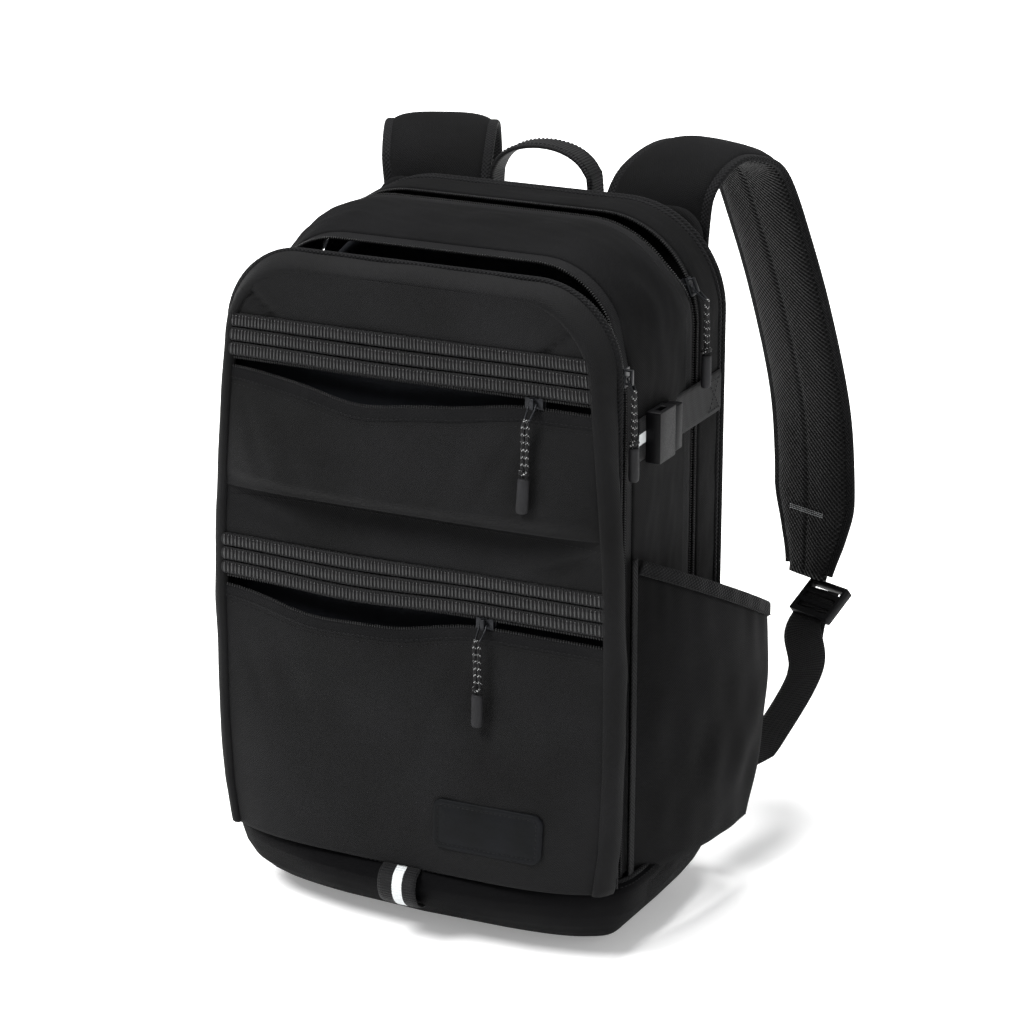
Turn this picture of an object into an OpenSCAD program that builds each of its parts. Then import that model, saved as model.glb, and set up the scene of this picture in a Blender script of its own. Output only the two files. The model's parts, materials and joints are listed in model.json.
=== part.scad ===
/* [Bag] */
// Width of the bag between its two side walls, outside
bag_w = 250; // [220:1:290]
// Height of the front panel at the middle of its arch
front_h = 406; // [380:1:440]
// Corner radius at the top of the front panel
front_r = 50; // [40:1:70]
// How much higher the body is than the front panel
body_rise = 16; // [4:1:30]
// Corner radius at the top of the body
body_r = 62; // [50:1:70]
// Depth of the main compartment, from its front zip to the laptop zip
main_d = 98; // [80:1:140]
// Depth of the laptop section
laptop_d = 34; // [24:1:60]
// Thickness of a lined fabric wall
wall = 2.5; // [1.5:0.1:4]
// Thickness of the foam back panel
back_t = 10; // [6:0.5:16]
// Thickness of the air mesh pads on the back
pad_t = 13; // [8:0.5:20]
// Width of each mouth, between the panel and the top of the gusset
mouth_w = 12; // [8:0.5:16]

/* [Base] */
// Height of the base boot up to its seam
boot_h = 48; // [36:1:60]
// How far the boot stands out beyond the bag on each side
boot_over = 12; // [9:1:35]
// How far the boot bulges forward at the middle
boot_bulge = 24; // [10:1:32]
// Thickness of the padded boot
boot_t = 4; // [3:0.5:6]
// Thickness of the stiffening board on the floor
board_t = 4; // [2:0.5:8]

/* [Front pockets] */
// Thickness of the front panel, from lining to face
panel_d = 18; // [14:1:26]
// Height of the zip of the upper pocket
upper_zip_z = 340; // [326:1:346]
// Height of the zip of the lower pocket
lower_zip_z = 205; // [180:1:220]
// Height of the fold across the middle of the front
fold_z = 264; // [255:1:272]
// How far each open pocket lip stands forward
lip_out = 6; // [4:0.5:6]
// How far each open pocket lip droops
lip_droop = 8; // [4:1:14]
// Height of a ribbed band of three webbing rows
band_h = 26; // [20:1:30]
// Thickness of webbing
web_t = 2; // [1.2:0.1:3]
// Width of the rounded patch
patch_w = 66; // [40:1:80]
// Height of the patch
patch_h = 31; // [20:1:40]

/* [Zips] */
// Width of the row of teeth on each tape
tooth_w = 2.2; // [1.6:0.1:3]
// Gap between the two rows of teeth, for the wedge of the slider
tooth_gap = 3; // [2.6:0.1:4]
// Thickness of the teeth
tooth_t = 2; // [1.4:0.1:2.6]
// Width of fabric tape beyond the teeth
tape_w = 9; // [6:0.5:14]
// Thickness of the tape
tape_t = 0.8; // [0.5:0.1:1.2]
// Length of a slider
slider_l = 11; // [9:0.5:12]
// Clearance between a slider and what it slides on
slide_gap = 0.4; // [0.3:0.05:0.6]
// Length of the cord of a zip pull
pull_cord = 34; // [20:1:50]
// Diameter of the doubled cord of a zip pull
pull_cord_d = 4.4; // [3:0.1:6]
// Length of the moulded end of a zip pull
pull_tip = 18; // [12:1:24]
// Diameter of the moulded end
pull_tip_d = 7.4; // [6:0.1:9]

/* [Side] */
// Height of the compression strap, at its middle
side_strap_z = 314; // [290:1:325]
// Width of the webbing
web_w = 25; // [20:1:30]
// How far the right bottle pocket stands out at its widest
pocket_out_right = 34; // [15:1:60]
// How far the left bottle pocket stands out, empty
pocket_out_left = 20; // [15:1:60]
// Height of the pocket's edge at the front
pocket_front_z = 246; // [200:1:260]
// Height of the pocket's edge at the back
pocket_rear_z = 180; // [120:1:200]
// Height of the elastic binding
binding_h = 11; // [8:1:16]

/* [Carrying] */
// Width of a shoulder strap
strap_w = 62; // [50:1:75]
// Thickness of a shoulder strap
strap_t = 13; // [8:1:18]
// Turn of each shoulder strap away from straight back
strap_turn = 23; // [10:1:32]
// Distance of a strap's upper seam from the middle of the back
strap_x = 70; // [62:1:80]
// Height of a strap's upper seam
strap_top_z = 400; // [380:1:402]
// Half the span of the haul handle
handle_half = 36; // [28:1:37]
// Rise of the haul handle above the back panel
handle_rise = 24; // [20:1:40]

/* [Hidden] */
$fn = 48;
half = bag_w / 2;
boot_half = half + boot_over;
body_h = front_h + body_rise;
// Depth stations, from the front to the back
zip_y = -70.5;                       // middle of the front zip
gusset_y0 = zip_y + tooth_gap / 2 + tooth_w + tape_w;
panel_back = zip_y - tooth_gap / 2 - tooth_w;
panel_face = panel_back - panel_d;
laptop_zip_y = zip_y + main_d;       // middle of the laptop zip
laptop_y1 = laptop_zip_y + laptop_d;
back_y = laptop_y1 + back_t;
pad_y = back_y + pad_t;
divider_t = 5;
sit = 0.3;                           // clearance of a seat between two bodies
mouth_angle = 38;                    // where the laptop mouth starts on its corner
slider_rest_z = front_h - front_r - 1;
slider_w = 2 * (tooth_w + tooth_gap / 2) - 0.4;
plate_t = 1;
bridge_h = 3.4;
hinge_y = panel_face - lip_out;
hinge_z = boot_h + 0.6;
boot_top_bulge = boot_bulge / 3;
gusset_y1 = laptop_zip_y - tooth_gap / 2 - tooth_w - tape_w;
laptop_tape = 3;
laptop_y0 = laptop_zip_y + tooth_gap / 2 + tooth_w + laptop_tape;
divider_y = gusset_y1 + 3;
main_mouth_z = slider_rest_z + slider_l / 2 + 1;
laptop_mouth_x = half - body_r + body_r * cos(mouth_angle);
laptop_zip_z0 = boot_h + 90;
laptop_rest_angle = 22;
wedge_w = tooth_gap - 2 * slide_gap;
pocket_zip_y = panel_face + 1.2;
pivot_out = tooth_t / 2 + slide_gap + plate_t + 1.3;   // from a zip's middle to the pivot of its pull
bail_half = 2.1;
bail_l = 8;
pull_length = bail_l + pull_cord + pull_tip;
// how far outside its pivot a pull hangs: a pocket pull's end passes the bulged lip with 0.5 to spare
pull_off = pocket_zip_y - pivot_out - (panel_face - lip_out - pull_tip_d / 2 - 0.5);
side_pull_off = 3.4;
laptop_pull_off = 9;
patch_x = 54;
patch_z = 66;
pocket_y0 = gusset_y0 + 0.5;
pocket_y1 = back_y + 4;
socket_y0 = -47;
plug_y0 = -25;
buckle_t = 9;
wing_x = half + 13;
handle_z = strap_top_z - 2;
handle_t = 3.5;

// Points of a round arch outline, from its lower left corner
function arc(cx, cz, r, a0, a1, n = 16) =
    [for (i = [0:n]) let (a = a0 + (a1 - a0) * i / n) [cx + r * cos(a), cz + r * sin(a)]];
function arch(w, z0, top, r) = concat([[-w, z0], [w, z0]],
    arc(w - r, top - r, r, 0, 90), arc(r - w, top - r, r, 90, 180));

// Outline of the boot seen from above, inset by i, with its front bulged by b
function boot_front(x, i, b) = -(92 + b * (1 - pow(x / (boot_half - 30), 2))) + i;
function boot_plan(i, b) = concat(
    [for (k = [-5:5]) let (x = k / 5 * (boot_half - 30)) [x, boot_front(x, i, b)]],
    arc(boot_half - 30, -62, 30 - i, -80, 0, 6), arc(boot_half - 40, pad_y - 52, 40 - i, 0, 90, 6),
    arc(40 - boot_half, pad_y - 52, 40 - i, 90, 180, 6), arc(30 - boot_half, -62, 30 - i, 180, 260, 6));

// Bulge of an open pocket lip at x, for a mouth with middle m and half width h
function lip(x, m, h) = abs(x - m) < h ? pow(cos(90 * (x - m) / h), 2) : 0;
upper_mid = -17;
upper_half = 96;
lower_mid = -36;
lower_half = 84;
upper_rest_x = upper_mid + upper_half + 1;
lower_rest_x = lower_mid + lower_half + 1;

// A flat solid swept along points p, of width w, across directions d, and of thickness t
function tangent(p, i) = let (a = p[max(i - 1, 0)], b = p[min(i + 1, len(p) - 1)]) (b - a) / norm(b - a);
function ring(p, i, w, d, t) = let (n0 = cross(tangent(p, i), d), n = n0 / norm(n0) * t / 2, v = d * w / 2)
    [p[i] + v + n, p[i] - v + n, p[i] - v - n, p[i] + v - n];
module ribbon(p, w, d, t) {
    pts = [for (i = [0:len(p) - 1]) each ring(p, i, is_list(w) ? w[i] : w, d[i], t)];
    last = 4 * (len(p) - 1);
    sides = [for (i = [0:len(p) - 2], k = [0:3]) let (a = 4 * i + k, b = 4 * i + (k + 1) % 4)
        each [[a, b, b + 4], [a, b + 4, a + 4]]];
    polyhedron(points = pts, faces = concat([[3, 2, 1, 0]], sides,
        [[last, last + 1, last + 2, last + 3]]), convexity = 4);
}

module slab_y(y0, y1) { translate([0, y1, 0]) rotate([90, 0, 0]) linear_extrude(y1 - y0) children(); }
module slab_x(x0, x1) { translate([x0, 0, 0]) rotate([90, 0, 90]) linear_extrude(x1 - x0) children(); }
module box(x0, x1, y0, y1, z0, z1) { translate([x0, y0, z0]) cube([x1 - x0, y1 - y0, z1 - z0]); }
module arch_ring(y0, y1, w, z0, top, r, t) {
    slab_y(y0, y1) difference() {
        polygon(arch(w, z0, top, r));
        polygon(arch(w - t, z0 - 1, top - t, r - t));
    }
}
module left() { mirror([1, 0, 0]) children(); }

// ---- base ----
module boot_level(i, z0, z1, b = boot_bulge) {
    translate([0, 0, z0]) linear_extrude(z1 - z0) polygon(boot_plan(i, b));
}
module base_boot() {
    color("#151517") difference() {
        union() {
            boot_level(16, 0, 5);
            boot_level(7, 5, 14);
            boot_level(2, 14, 26);
            boot_level(0, 26, boot_h - 8);
            boot_level(0, boot_h - 8, boot_h, boot_top_bulge);
        }
        boot_level(16 + boot_t, 4, 7);
        boot_level(7 + boot_t, 7, 16);
        boot_level(2 + boot_t, 16, boot_h - 8 - boot_t);
        boot_level(2 + boot_t, boot_h - 9 - boot_t, boot_h + 1, boot_top_bulge);
    }
}
module base_board() { color("#202022") boot_level(16 + boot_t + 1, 4.3, 4.3 + board_t); }
module base_loop() {
    y = boot_front(0, 0, boot_bulge);
    color("#2a2a2c") union() {
        box(-web_w / 2, web_w / 2, y - web_t - 5, y - 5, 18, boot_h - 4);
        box(-web_w / 2, web_w / 2, y - 5, y + boot_bulge - boot_top_bulge, boot_h - 8, boot_h - 4);
        box(-web_w / 2, web_w / 2, y - 5, y + 2, 18, 22);
    }
}

// ---- main body ----
gusset_z0 = boot_h;
module gusset_side() {
    box(half - wall, half, gusset_y0, gusset_y1, gusset_z0, body_h - body_r - 2);
}
module gusset_right() { color("#1c1c1e") gusset_side(); }
module gusset_left() { color("#1c1c1e") left() gusset_side(); }
module gusset_top() {
    color("#1c1c1e") difference() {
        arch_ring(gusset_y0, gusset_y1, half, body_h - body_r - 2, body_h, body_r, wall);
        box(-bag_w, bag_w, gusset_y0 - 1, gusset_y0 + mouth_w, main_mouth_z, body_h + 1);
        box(-laptop_mouth_x, laptop_mouth_x, gusset_y1 - mouth_w, gusset_y1 + 1, body_h - body_r, body_h + 1);
    }
}
module divider() {
    color("#3a3a3d") slab_y(divider_y, divider_y + divider_t)
        polygon(arch(half - wall / 2 - tape_t / 2 - sit, 14, body_h - wall - 18, body_r));
}
module laptop_side() { box(half - wall, half, laptop_y0, laptop_y1, gusset_z0, body_h - body_r - 2); }
module laptop_wall_right() { color("#1c1c1e") laptop_side(); }
module laptop_wall_left() { color("#1c1c1e") left() laptop_side(); }
module laptop_wall_top() {
    color("#1c1c1e") arch_ring(laptop_y0, laptop_y1, half,
        body_h - body_r - 2, body_h, body_r, wall);
}
module back_panel() {
    color("#1a1a1c") slab_y(laptop_y1, back_y) polygon(arch(half, boot_h, body_h, body_r));
}
module back_pads() {
    color("#232325") {
        for (s = [-1, 1]) translate([s * 56, 0, 0]) slab_y(back_y, pad_y)
            polygon(arch(42, 108, strap_top_z - 30, 24));
        slab_y(back_y, pad_y) polygon(arch(92, boot_h + 2, 98, 22));
    }
}

// ---- zips: two rows of teeth, each on its tape ----
// A strip of width w and thickness t, in the middle of the wall's thickness
module row_ring(y, w, t, z0, top, r) {
    d = (t - wall) / 2;
    arch_ring(y, y + w, half + d, z0, top + d, r + d, t);
}
// A row round an arch at depth y. s is 1 where its tape runs back, -1 where it runs forward.
module zip_row(y, s, z0, top, r) {
    a = s > 0 ? y + tooth_gap / 2 : y - tooth_gap / 2 - tooth_w;
    b = s > 0 ? a + tooth_w : a - tape_w;
    row_ring(a, tooth_w, tooth_t, z0, top, r);
    row_ring(b, tape_w, tape_t, z0, top, r);
}
// A row whose stretch over the mouth, within x and above z, is pulled aside by d
module mouth_row(y, s, z0, top, r, d, x, z) {
    difference() {
        zip_row(y, s, z0, top, r);
        box(-x, x, y - 30, y + 30, z, top + 9);
    }
    intersection() {
        translate([0, d, 0]) zip_row(y, s, z0, top, r);
        box(-x, x, y - 60, y + 60, z, top + 9);
    }
}
module main_zip_rear() {
    color("#0e0e0f") mouth_row(zip_y, 1, boot_h + 4, body_h, body_r, mouth_w, bag_w, main_mouth_z);
}
module main_zip_front() {
    color("#0e0e0f") row_ring(panel_back, tooth_w, tooth_t, boot_h + 4, front_h, front_r);
}
module laptop_zip() {
    color("#0e0e0f") {
        mouth_row(laptop_zip_y, -1, laptop_zip_z0, body_h, body_r, -mouth_w, laptop_mouth_x, body_h - body_r);
        row_ring(laptop_zip_y + tooth_gap / 2, tooth_w, tooth_t, laptop_zip_z0, body_h, body_r);
        row_ring(laptop_y0 - laptop_tape, laptop_tape, tape_t, laptop_zip_z0, body_h, body_r);
    }
}
// A slider: two plates joined by a wedge, with a bridge outside. It slides along X, outside is +Z.
// The bridge runs along the slider, or across it on the front pockets, where the pull hangs sideways.
slider_h = tooth_t / 2 + slide_gap;
bridge_z = slider_h + plate_t;
module slider_body(across = false) {
    span = across ? slider_w - 0.6 : slider_l - 2;
    for (z = [slider_h, -slider_h - plate_t])
        translate([-slider_l / 2, -slider_w / 2, z]) cube([slider_l, slider_w, plate_t]);
    translate([-2, -wedge_w / 2, -slider_h]) cube([5, wedge_w, 2 * slider_h]);
    rotate([0, 0, across ? 90 : 0]) {
        for (x = [-span / 2, span / 2 - 1.2]) translate([x, -1.2, bridge_z]) cube([1.2, 2.4, bridge_h - 1]);
        translate([-span / 2, -1.2, bridge_z + bridge_h - 1]) cube([span, 2.4, 1.2]);
    }
}
// A pull: wire bail, doubled cord and moulded end. It hangs down -Z from its pivot, outside is +Y,
// and the wire's upper bar lies along X, inside the bridge.
module pull_body(out) {
    wire = 1.4;
    for (x = [-1, 1]) hull() {
        translate([x * bail_half, 0, 0]) sphere(d = wire, $fn = 16);
        translate([x * 2.4, out, -bail_l]) sphere(d = wire, $fn = 16);
    }
    translate([-bail_half, 0, 0]) rotate([0, 90, 0]) cylinder(d = wire, h = 2 * bail_half);
    translate([0, out, -bail_l - pull_cord]) cylinder(d = pull_cord_d, h = pull_cord + 1.5);
    translate([0, out, -pull_length]) cylinder(d = pull_tip_d, h = pull_tip);
}
// Places: front pocket zips, the main zip at the side, the laptop zip on its corner arc
module on_pocket_zip(x, z) { translate([x, pocket_zip_y, z]) rotate([90, 0, 0]) children(); }
module on_main_zip() { translate([half - wall / 2, zip_y, slider_rest_z]) rotate([0, 90, 0]) children(); }
module on_laptop_zip() {
    translate([half - body_r, laptop_zip_y, body_h - body_r]) rotate([0, 90 - laptop_rest_angle, 0])
        translate([0, 0, body_r - wall / 2]) children();
}
module pocket_pull(x, z) {
    translate([x, pocket_zip_y - pivot_out, z]) rotate([0, 0, 180]) pull_body(pull_off);
}
module upper_slider() { color("#3c3c3e") on_pocket_zip(upper_rest_x, upper_zip_z) slider_body(true); }
module upper_pull() { color("#4a4a4d") pocket_pull(upper_rest_x, upper_zip_z); }
module lower_slider() { color("#3c3c3e") on_pocket_zip(lower_rest_x, lower_zip_z) slider_body(true); }
module lower_pull() { color("#4a4a4d") pocket_pull(lower_rest_x, lower_zip_z); }
module main_slider_right() { color("#3c3c3e") on_main_zip() slider_body(); }
module main_slider_left() { color("#3c3c3e") left() on_main_zip() slider_body(); }
module main_pull() {
    translate([half - wall / 2 + pivot_out, zip_y, slider_rest_z]) rotate([0, 0, -90])
        pull_body(side_pull_off);
}
module main_pull_right() { color("#4a4a4d") main_pull(); }
module main_pull_left() { color("#4a4a4d") left() main_pull(); }
module laptop_slider_right() { color("#3c3c3e") on_laptop_zip() slider_body(); }
module laptop_slider_left() { color("#3c3c3e") left() on_laptop_zip() slider_body(); }
module laptop_pull() {
    r = body_r - wall / 2 + pivot_out;
    translate([half - body_r + r * cos(laptop_rest_angle), laptop_zip_y,
        body_h - body_r + r * sin(laptop_rest_angle)])
        rotate([0, 0, -90]) pull_body(laptop_pull_off);
}
module laptop_pull_right() { color("#4a4a4d") laptop_pull(); }
module laptop_pull_left() { color("#4a4a4d") left() laptop_pull(); }

// ---- front panel ----
rim_t = 3;
face_t = 2.2;
panel_z0 = hinge_z;
module panel_arch(z0, i) { polygon(arch(half - i, z0, front_h - i, front_r - i)); }
module front_rim() {
    color("#121213") slab_y(panel_face, panel_back) difference() {
        panel_arch(panel_z0, 0);
        panel_arch(panel_z0 + rim_t, rim_t);
    }
}
module front_inner_wall() {
    color("#2c2c2f") slab_y(panel_back - 3.8, panel_back - 1.3) panel_arch(panel_z0 + rim_t, rim_t);
}
band_z0 = slider_w / 2 + 0.4;            // lower edge of a band above its zip
row_top = tooth_gap / 2 + tooth_w + tape_w;
module face(z0, z1) {
    slab_y(panel_face, panel_face + face_t) intersection() {
        panel_arch(panel_z0 + rim_t, rim_t);
        translate([-half, z0]) square([bag_w, z1 - z0]);
    }
}
module upper_field() { color("#232326") face(upper_zip_z + row_top, front_h); }
module middle_field() { color("#232326") face(lower_zip_z + row_top, fold_z); }
// Three rows of ribbed webbing, one above the other
module band(z) {
    slab_y(panel_face - web_t, panel_face) intersection() {
        panel_arch(panel_z0 + rim_t, rim_t);
        for (k = [0:2]) translate([-half, z + band_z0 + k * band_h / 3])
            square([bag_w, band_h / 3 - (k < 2 ? 0.6 : 0)]);
    }
}
module upper_webbing() { color("#3a3a3c") band(upper_zip_z); }
module lower_webbing() { color("#3a3a3c") band(lower_zip_z); }
// Straight pocket zip. The upper row runs right across, the lower row from the mouth's end to the rim.
module pocket_zip(z, x_open) {
    w = half - rim_t;
    a = tooth_gap / 2;
    for (k = [[-w, a], [x_open, -a - tooth_w]])
        box(k[0], w, pocket_zip_y - tooth_t / 2, pocket_zip_y + tooth_t / 2, z + k[1], z + k[1] + tooth_w);
    for (k = [[-w, a + tooth_w], [x_open, -a - tooth_w - tape_w]])
        box(k[0], w, pocket_zip_y - tape_t / 2, pocket_zip_y + tape_t / 2, z + k[1], z + k[1] + tape_w);
}
module upper_pocket_zip() {
    color("#0e0e0f") intersection() {
        pocket_zip(upper_zip_z, upper_mid + upper_half + 6);
        slab_y(panel_face - 9, panel_back) panel_arch(panel_z0 + rim_t, rim_t);
    }
}
module lower_pocket_zip() { color("#0e0e0f") pocket_zip(lower_zip_z, lower_mid + lower_half + 6); }
// The pocket's face: y of its outside at x, and the height of its top edge
function pocket_y(x, m, h) = panel_face - lip_out * lip(x, m, h);
function pocket_top(x, z, m, h) = abs(x - m) < h
    ? z - slider_w / 2 - 0.8 - lip_droop * lip(x, m, h) : z - row_top;
steps = 24;
function span(k) = (half - rim_t) * (2 * k / steps - 1);
module pocket_face(z0, z, m, h) {
    intersection() {
        translate([0, 0, z0]) linear_extrude(z - z0) polygon(concat(
            [for (k = [0:steps]) [span(k), pocket_y(span(k), m, h)]],
            [for (k = [steps:-1:0]) [span(k), pocket_y(span(k), m, h) + face_t]]));
        slab_y(panel_face - lip_out - 1, panel_back) polygon(concat([[-half, z0 - 1], [half, z0 - 1]],
            [for (k = [2 * steps:-1:0]) [span(k / 2), pocket_top(span(k / 2), z, m, h)]]));
    }
}
// The bottom of a pocket's bulge, forward of the panel's face
module bulge_floor(z0, t, m, h) {
    translate([0, 0, z0]) linear_extrude(t)
        polygon([for (k = [0:steps]) let (x = m + h * (2 * k / steps - 1)) [x, pocket_y(x, m, h)]]);
}
module upper_pocket() {
    color("#232326") union() {
        pocket_face(fold_z, upper_zip_z, upper_mid, upper_half);
        bulge_floor(fold_z, 2.5, upper_mid, upper_half);
        box(rim_t - half, half - rim_t, panel_face, panel_back - 3.8, fold_z, fold_z + 2.5);
    }
}
module lower_pocket() {
    color("#232326") union() {
        pocket_face(panel_z0 + rim_t, lower_zip_z, lower_mid, lower_half);
        bulge_floor(panel_z0 + 0.5, rim_t - 0.5, lower_mid, lower_half);
    }
}
module patch() {
    n = 8;
    function px(k) = patch_x + patch_w * (k / n - 0.5);
    color("#1b1e22") translate([0, 0, patch_z]) linear_extrude(patch_h) polygon(concat(
        [for (k = [0:n]) [px(k), pocket_y(px(k), lower_mid, lower_half) - 1.8]],
        [for (k = [n:-1:0]) [px(k), pocket_y(px(k), lower_mid, lower_half) - 0.2]]));
}

// ---- sides ----
// Plan of a bottle pocket that stands out by d, inset by i
function pocket_plan(d, i) = [[half, pocket_y0 + i], [half + 0.45 * d - i, pocket_y0 + 30],
    [half + 0.85 * d - i, pocket_y0 + 70], [half + d - i, pocket_y0 + 104],
    [half + 0.96 * d - i, pocket_y1 - 6 - i], [half + 0.5 * d - i, pocket_y1 - i], [half, pocket_y1 - 2 - i]];
function edge_z(y) = pocket_front_z
    + (pocket_rear_z - pocket_front_z) * (y - pocket_y0) / (pocket_y1 - pocket_y0);
module below_edge(drop, low) {
    y0 = pocket_y0 - 5;
    y1 = pocket_y1 + 5;
    slab_x(half - 1, half + 90)
        polygon([[y0, low], [y1, low], [y1, edge_z(y1) - drop], [y0, edge_z(y0) - drop]]);
}
module pocket_wall(d, t, o) {
    translate([0, 0, boot_h]) linear_extrude(pocket_front_z) difference() {
        polygon(pocket_plan(d, -o));
        polygon(pocket_plan(d, t));
    }
}
module bottle_pocket(d) {
    intersection() {
        union() {
            pocket_wall(d, face_t, 0);
            translate([0, 0, boot_h + 0.3]) linear_extrude(3) polygon(pocket_plan(d, 0));
        }
        below_edge(binding_h, boot_h);
    }
}
module pocket_binding(d) {
    intersection() {
        pocket_wall(d, face_t, 0.4);
        difference() {
            below_edge(0, boot_h);
            below_edge(binding_h - 0.02, 0);
        }
    }
}
module bottle_pocket_right() { color("#1a1a1c") bottle_pocket(pocket_out_right); }
module bottle_pocket_left() { color("#1a1a1c") left() bottle_pocket(pocket_out_left); }
module pocket_binding_right() { color("#0f0f10") pocket_binding(pocket_out_right); }
module pocket_binding_left() { color("#0f0f10") left() pocket_binding(pocket_out_left); }

// Compression strap: webbing, and a side release buckle between its two ends
web_x0 = half + sit;
web_x1 = web_x0 + web_t;
module webbing_z(y0, y1) { box(web_x0, web_x1, y0, y1, side_strap_z - web_w / 2, side_strap_z + web_w / 2); }
module side_webbing() {
    webbing_z(gusset_y0 + 1, socket_y0 + 14);
    webbing_z(plug_y0 + 3, laptop_y1 - 2);
}
module side_webbing_right() { color("#2a2a2c") side_webbing(); }
module side_webbing_left() { color("#2a2a2c") left() side_webbing(); }
module buckle_socket() {
    z = side_strap_z;
    difference() {
        box(web_x1, web_x1 + buckle_t, socket_y0, plug_y0 - sit, z - web_w / 2 - 2.5, z + web_w / 2 + 2.5);
        box(web_x1 + 2, web_x1 + buckle_t - 2, socket_y0 + 3, plug_y0 + 1, z - 11.4, z + 11.4);
        box(web_x1 + 2.6, web_x1 + buckle_t - 2.6, socket_y0 + 6, plug_y0 - 7, z - 20, z + 20);
    }
}
module buckle_plug() {
    z = side_strap_z;
    x0 = web_x1 + 2.6;
    x1 = web_x1 + buckle_t - 2.6;
    box(web_x1 + 0.4, web_x1 + buckle_t - 0.4, plug_y0, plug_y0 + 10, z - web_w / 2 - 1, z + web_w / 2 + 1);
    for (a = [-10.8, 7.2]) box(x0, x1, plug_y0 - 19, plug_y0 + 0.01, z + a, z + a + 3.6);
    box(x0, x1, plug_y0 - 17, plug_y0 + 0.01, z - 1.6, z + 1.6);
}
module buckle_socket_right() { color("#1d1d1f") buckle_socket(); }
module buckle_socket_left() { color("#1d1d1f") left() buckle_socket(); }
module buckle_plug_right() { color("#1d1d1f") buckle_plug(); }
module buckle_plug_left() { color("#1d1d1f") left() buckle_plug(); }

// ---- carrying ----
// Side view of a shoulder strap: distance of its inner face out from its seam, and height
strap_side = [[1.1, 384], [2.1, 404], [10.5, 426], [31.5, 440], [53.5, 441], [77.5, 428], [101.5, 378],
    [121.5, 325], [137.5, 270], [143.5, 225], [144.5, 185], [142.5, 160], [140.5, 150]];
function strap_point(k) = let (out = strap_side[k][0] + strap_t / 2) [strap_x + out * sin(strap_turn),
    back_y + 4 + out * cos(strap_turn), strap_side[k][1] + strap_top_z - 400];
function strap_dir(k) = let (a = strap_turn * min(1, max(0, k - 1) / 3)) [cos(a), -sin(a), 0];
module strap_ribbon(a, b, e0, w) {
    p = [for (k = [a:b]) strap_point(k)];
    // the end at the crest is drawn back by e0, to leave room for the swing
    q = [for (i = [0:len(p) - 1]) i == 0 ? p[0] + (p[1] - p[0]) * e0 : p[i]];
    ribbon(q, w, [for (k = [a:b]) strap_dir(k)], strap_t);
}
stub_end = 3;
module strap_yoke() {
    color("#1c1c1e") slab_y(back_y, back_y + 4)
        polygon(arch(strap_x + strap_w / 2 + 8, strap_top_z - 24, body_h - 3, 18));
}
module strap_stub_right() { color("#19191b") strap_ribbon(0, stub_end, 0, strap_w); }
module strap_stub_left() { color("#19191b") left() strap_stub_right(); }
module shoulder_strap() {
    last = len(strap_side) - 1;
    strap_ribbon(stub_end, last, 0.55, [for (k = [stub_end:last])
        k < last - 1 ? strap_w : k < last ? strap_w - 14 : strap_w - 34]);
}
module shoulder_strap_right() { color("#19191b") shoulder_strap(); }
module shoulder_strap_left() { color("#19191b") left() shoulder_strap(); }
// Lower webbing, from the wing at the bottom of the back up to the ladder lock
strap_foot = [wing_x + 0.4, back_y + 9, boot_h + 18];
lock_at = strap_point(len(strap_side) - 1) + [14, -12, -11.3];
module strap_webbing() {
    p = [strap_foot, strap_foot + [5, 30, 12], strap_foot + [12, 72, 42], lock_at + [-4.5, -9.5, -8.4]];
    ribbon(p, [5, web_w, web_w, web_w], [for (k = [0:3]) strap_dir(4)], web_t);
}
module ladder_lock() {
    translate(lock_at) rotate([0, 0, -strap_turn]) rotate([38, 0, 0]) difference() {
        translate([-web_w / 2 - 4, -13, -3]) cube([web_w + 8, 26, 6]);
        for (y = [-9, -1.5, 6]) translate([-web_w / 2 - 0.5, y, -4]) cube([web_w + 1, 4, 8]);
    }
}
module strap_webbing_right() { color("#1c1c1e") strap_webbing(); }
module strap_webbing_left() { color("#1c1c1e") left() strap_webbing(); }
module ladder_lock_right() { color("#1d1d1f") ladder_lock(); }
module ladder_lock_left() { color("#1d1d1f") left() ladder_lock(); }
module strap_wing() {
    slab_y(back_y, back_y + 8)
        polygon([[94, boot_h], [half, boot_h], [half, boot_h + 40], [100, boot_h + 60]]);
    slab_y(back_y + 5, back_y + 8) polygon([[half - 1, boot_h], [wing_x, boot_h + 6], [wing_x, boot_h + 30],
        [half - 1, boot_h + 40]]);
}
module strap_wing_right() { color("#1c1c1e") strap_wing(); }
module strap_wing_left() { color("#1c1c1e") left() strap_wing(); }
module haul_handle() {
    y = back_y + 4 + sit;
    n = 14;
    top = body_h + handle_rise - handle_z;
    function loop(t) = [for (k = [0:n]) let (a = 180 * k / n)
        [-(handle_half - t) * cos(a), handle_z + (top - t) * pow(sin(a), 0.45)]];
    outer = loop(0);
    inner = loop(handle_t);
    color("#1c1c1e") slab_y(y, y + web_w - 5) polygon(concat(outer, [for (k = [n:-1:0]) inner[k]]));
}

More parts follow.
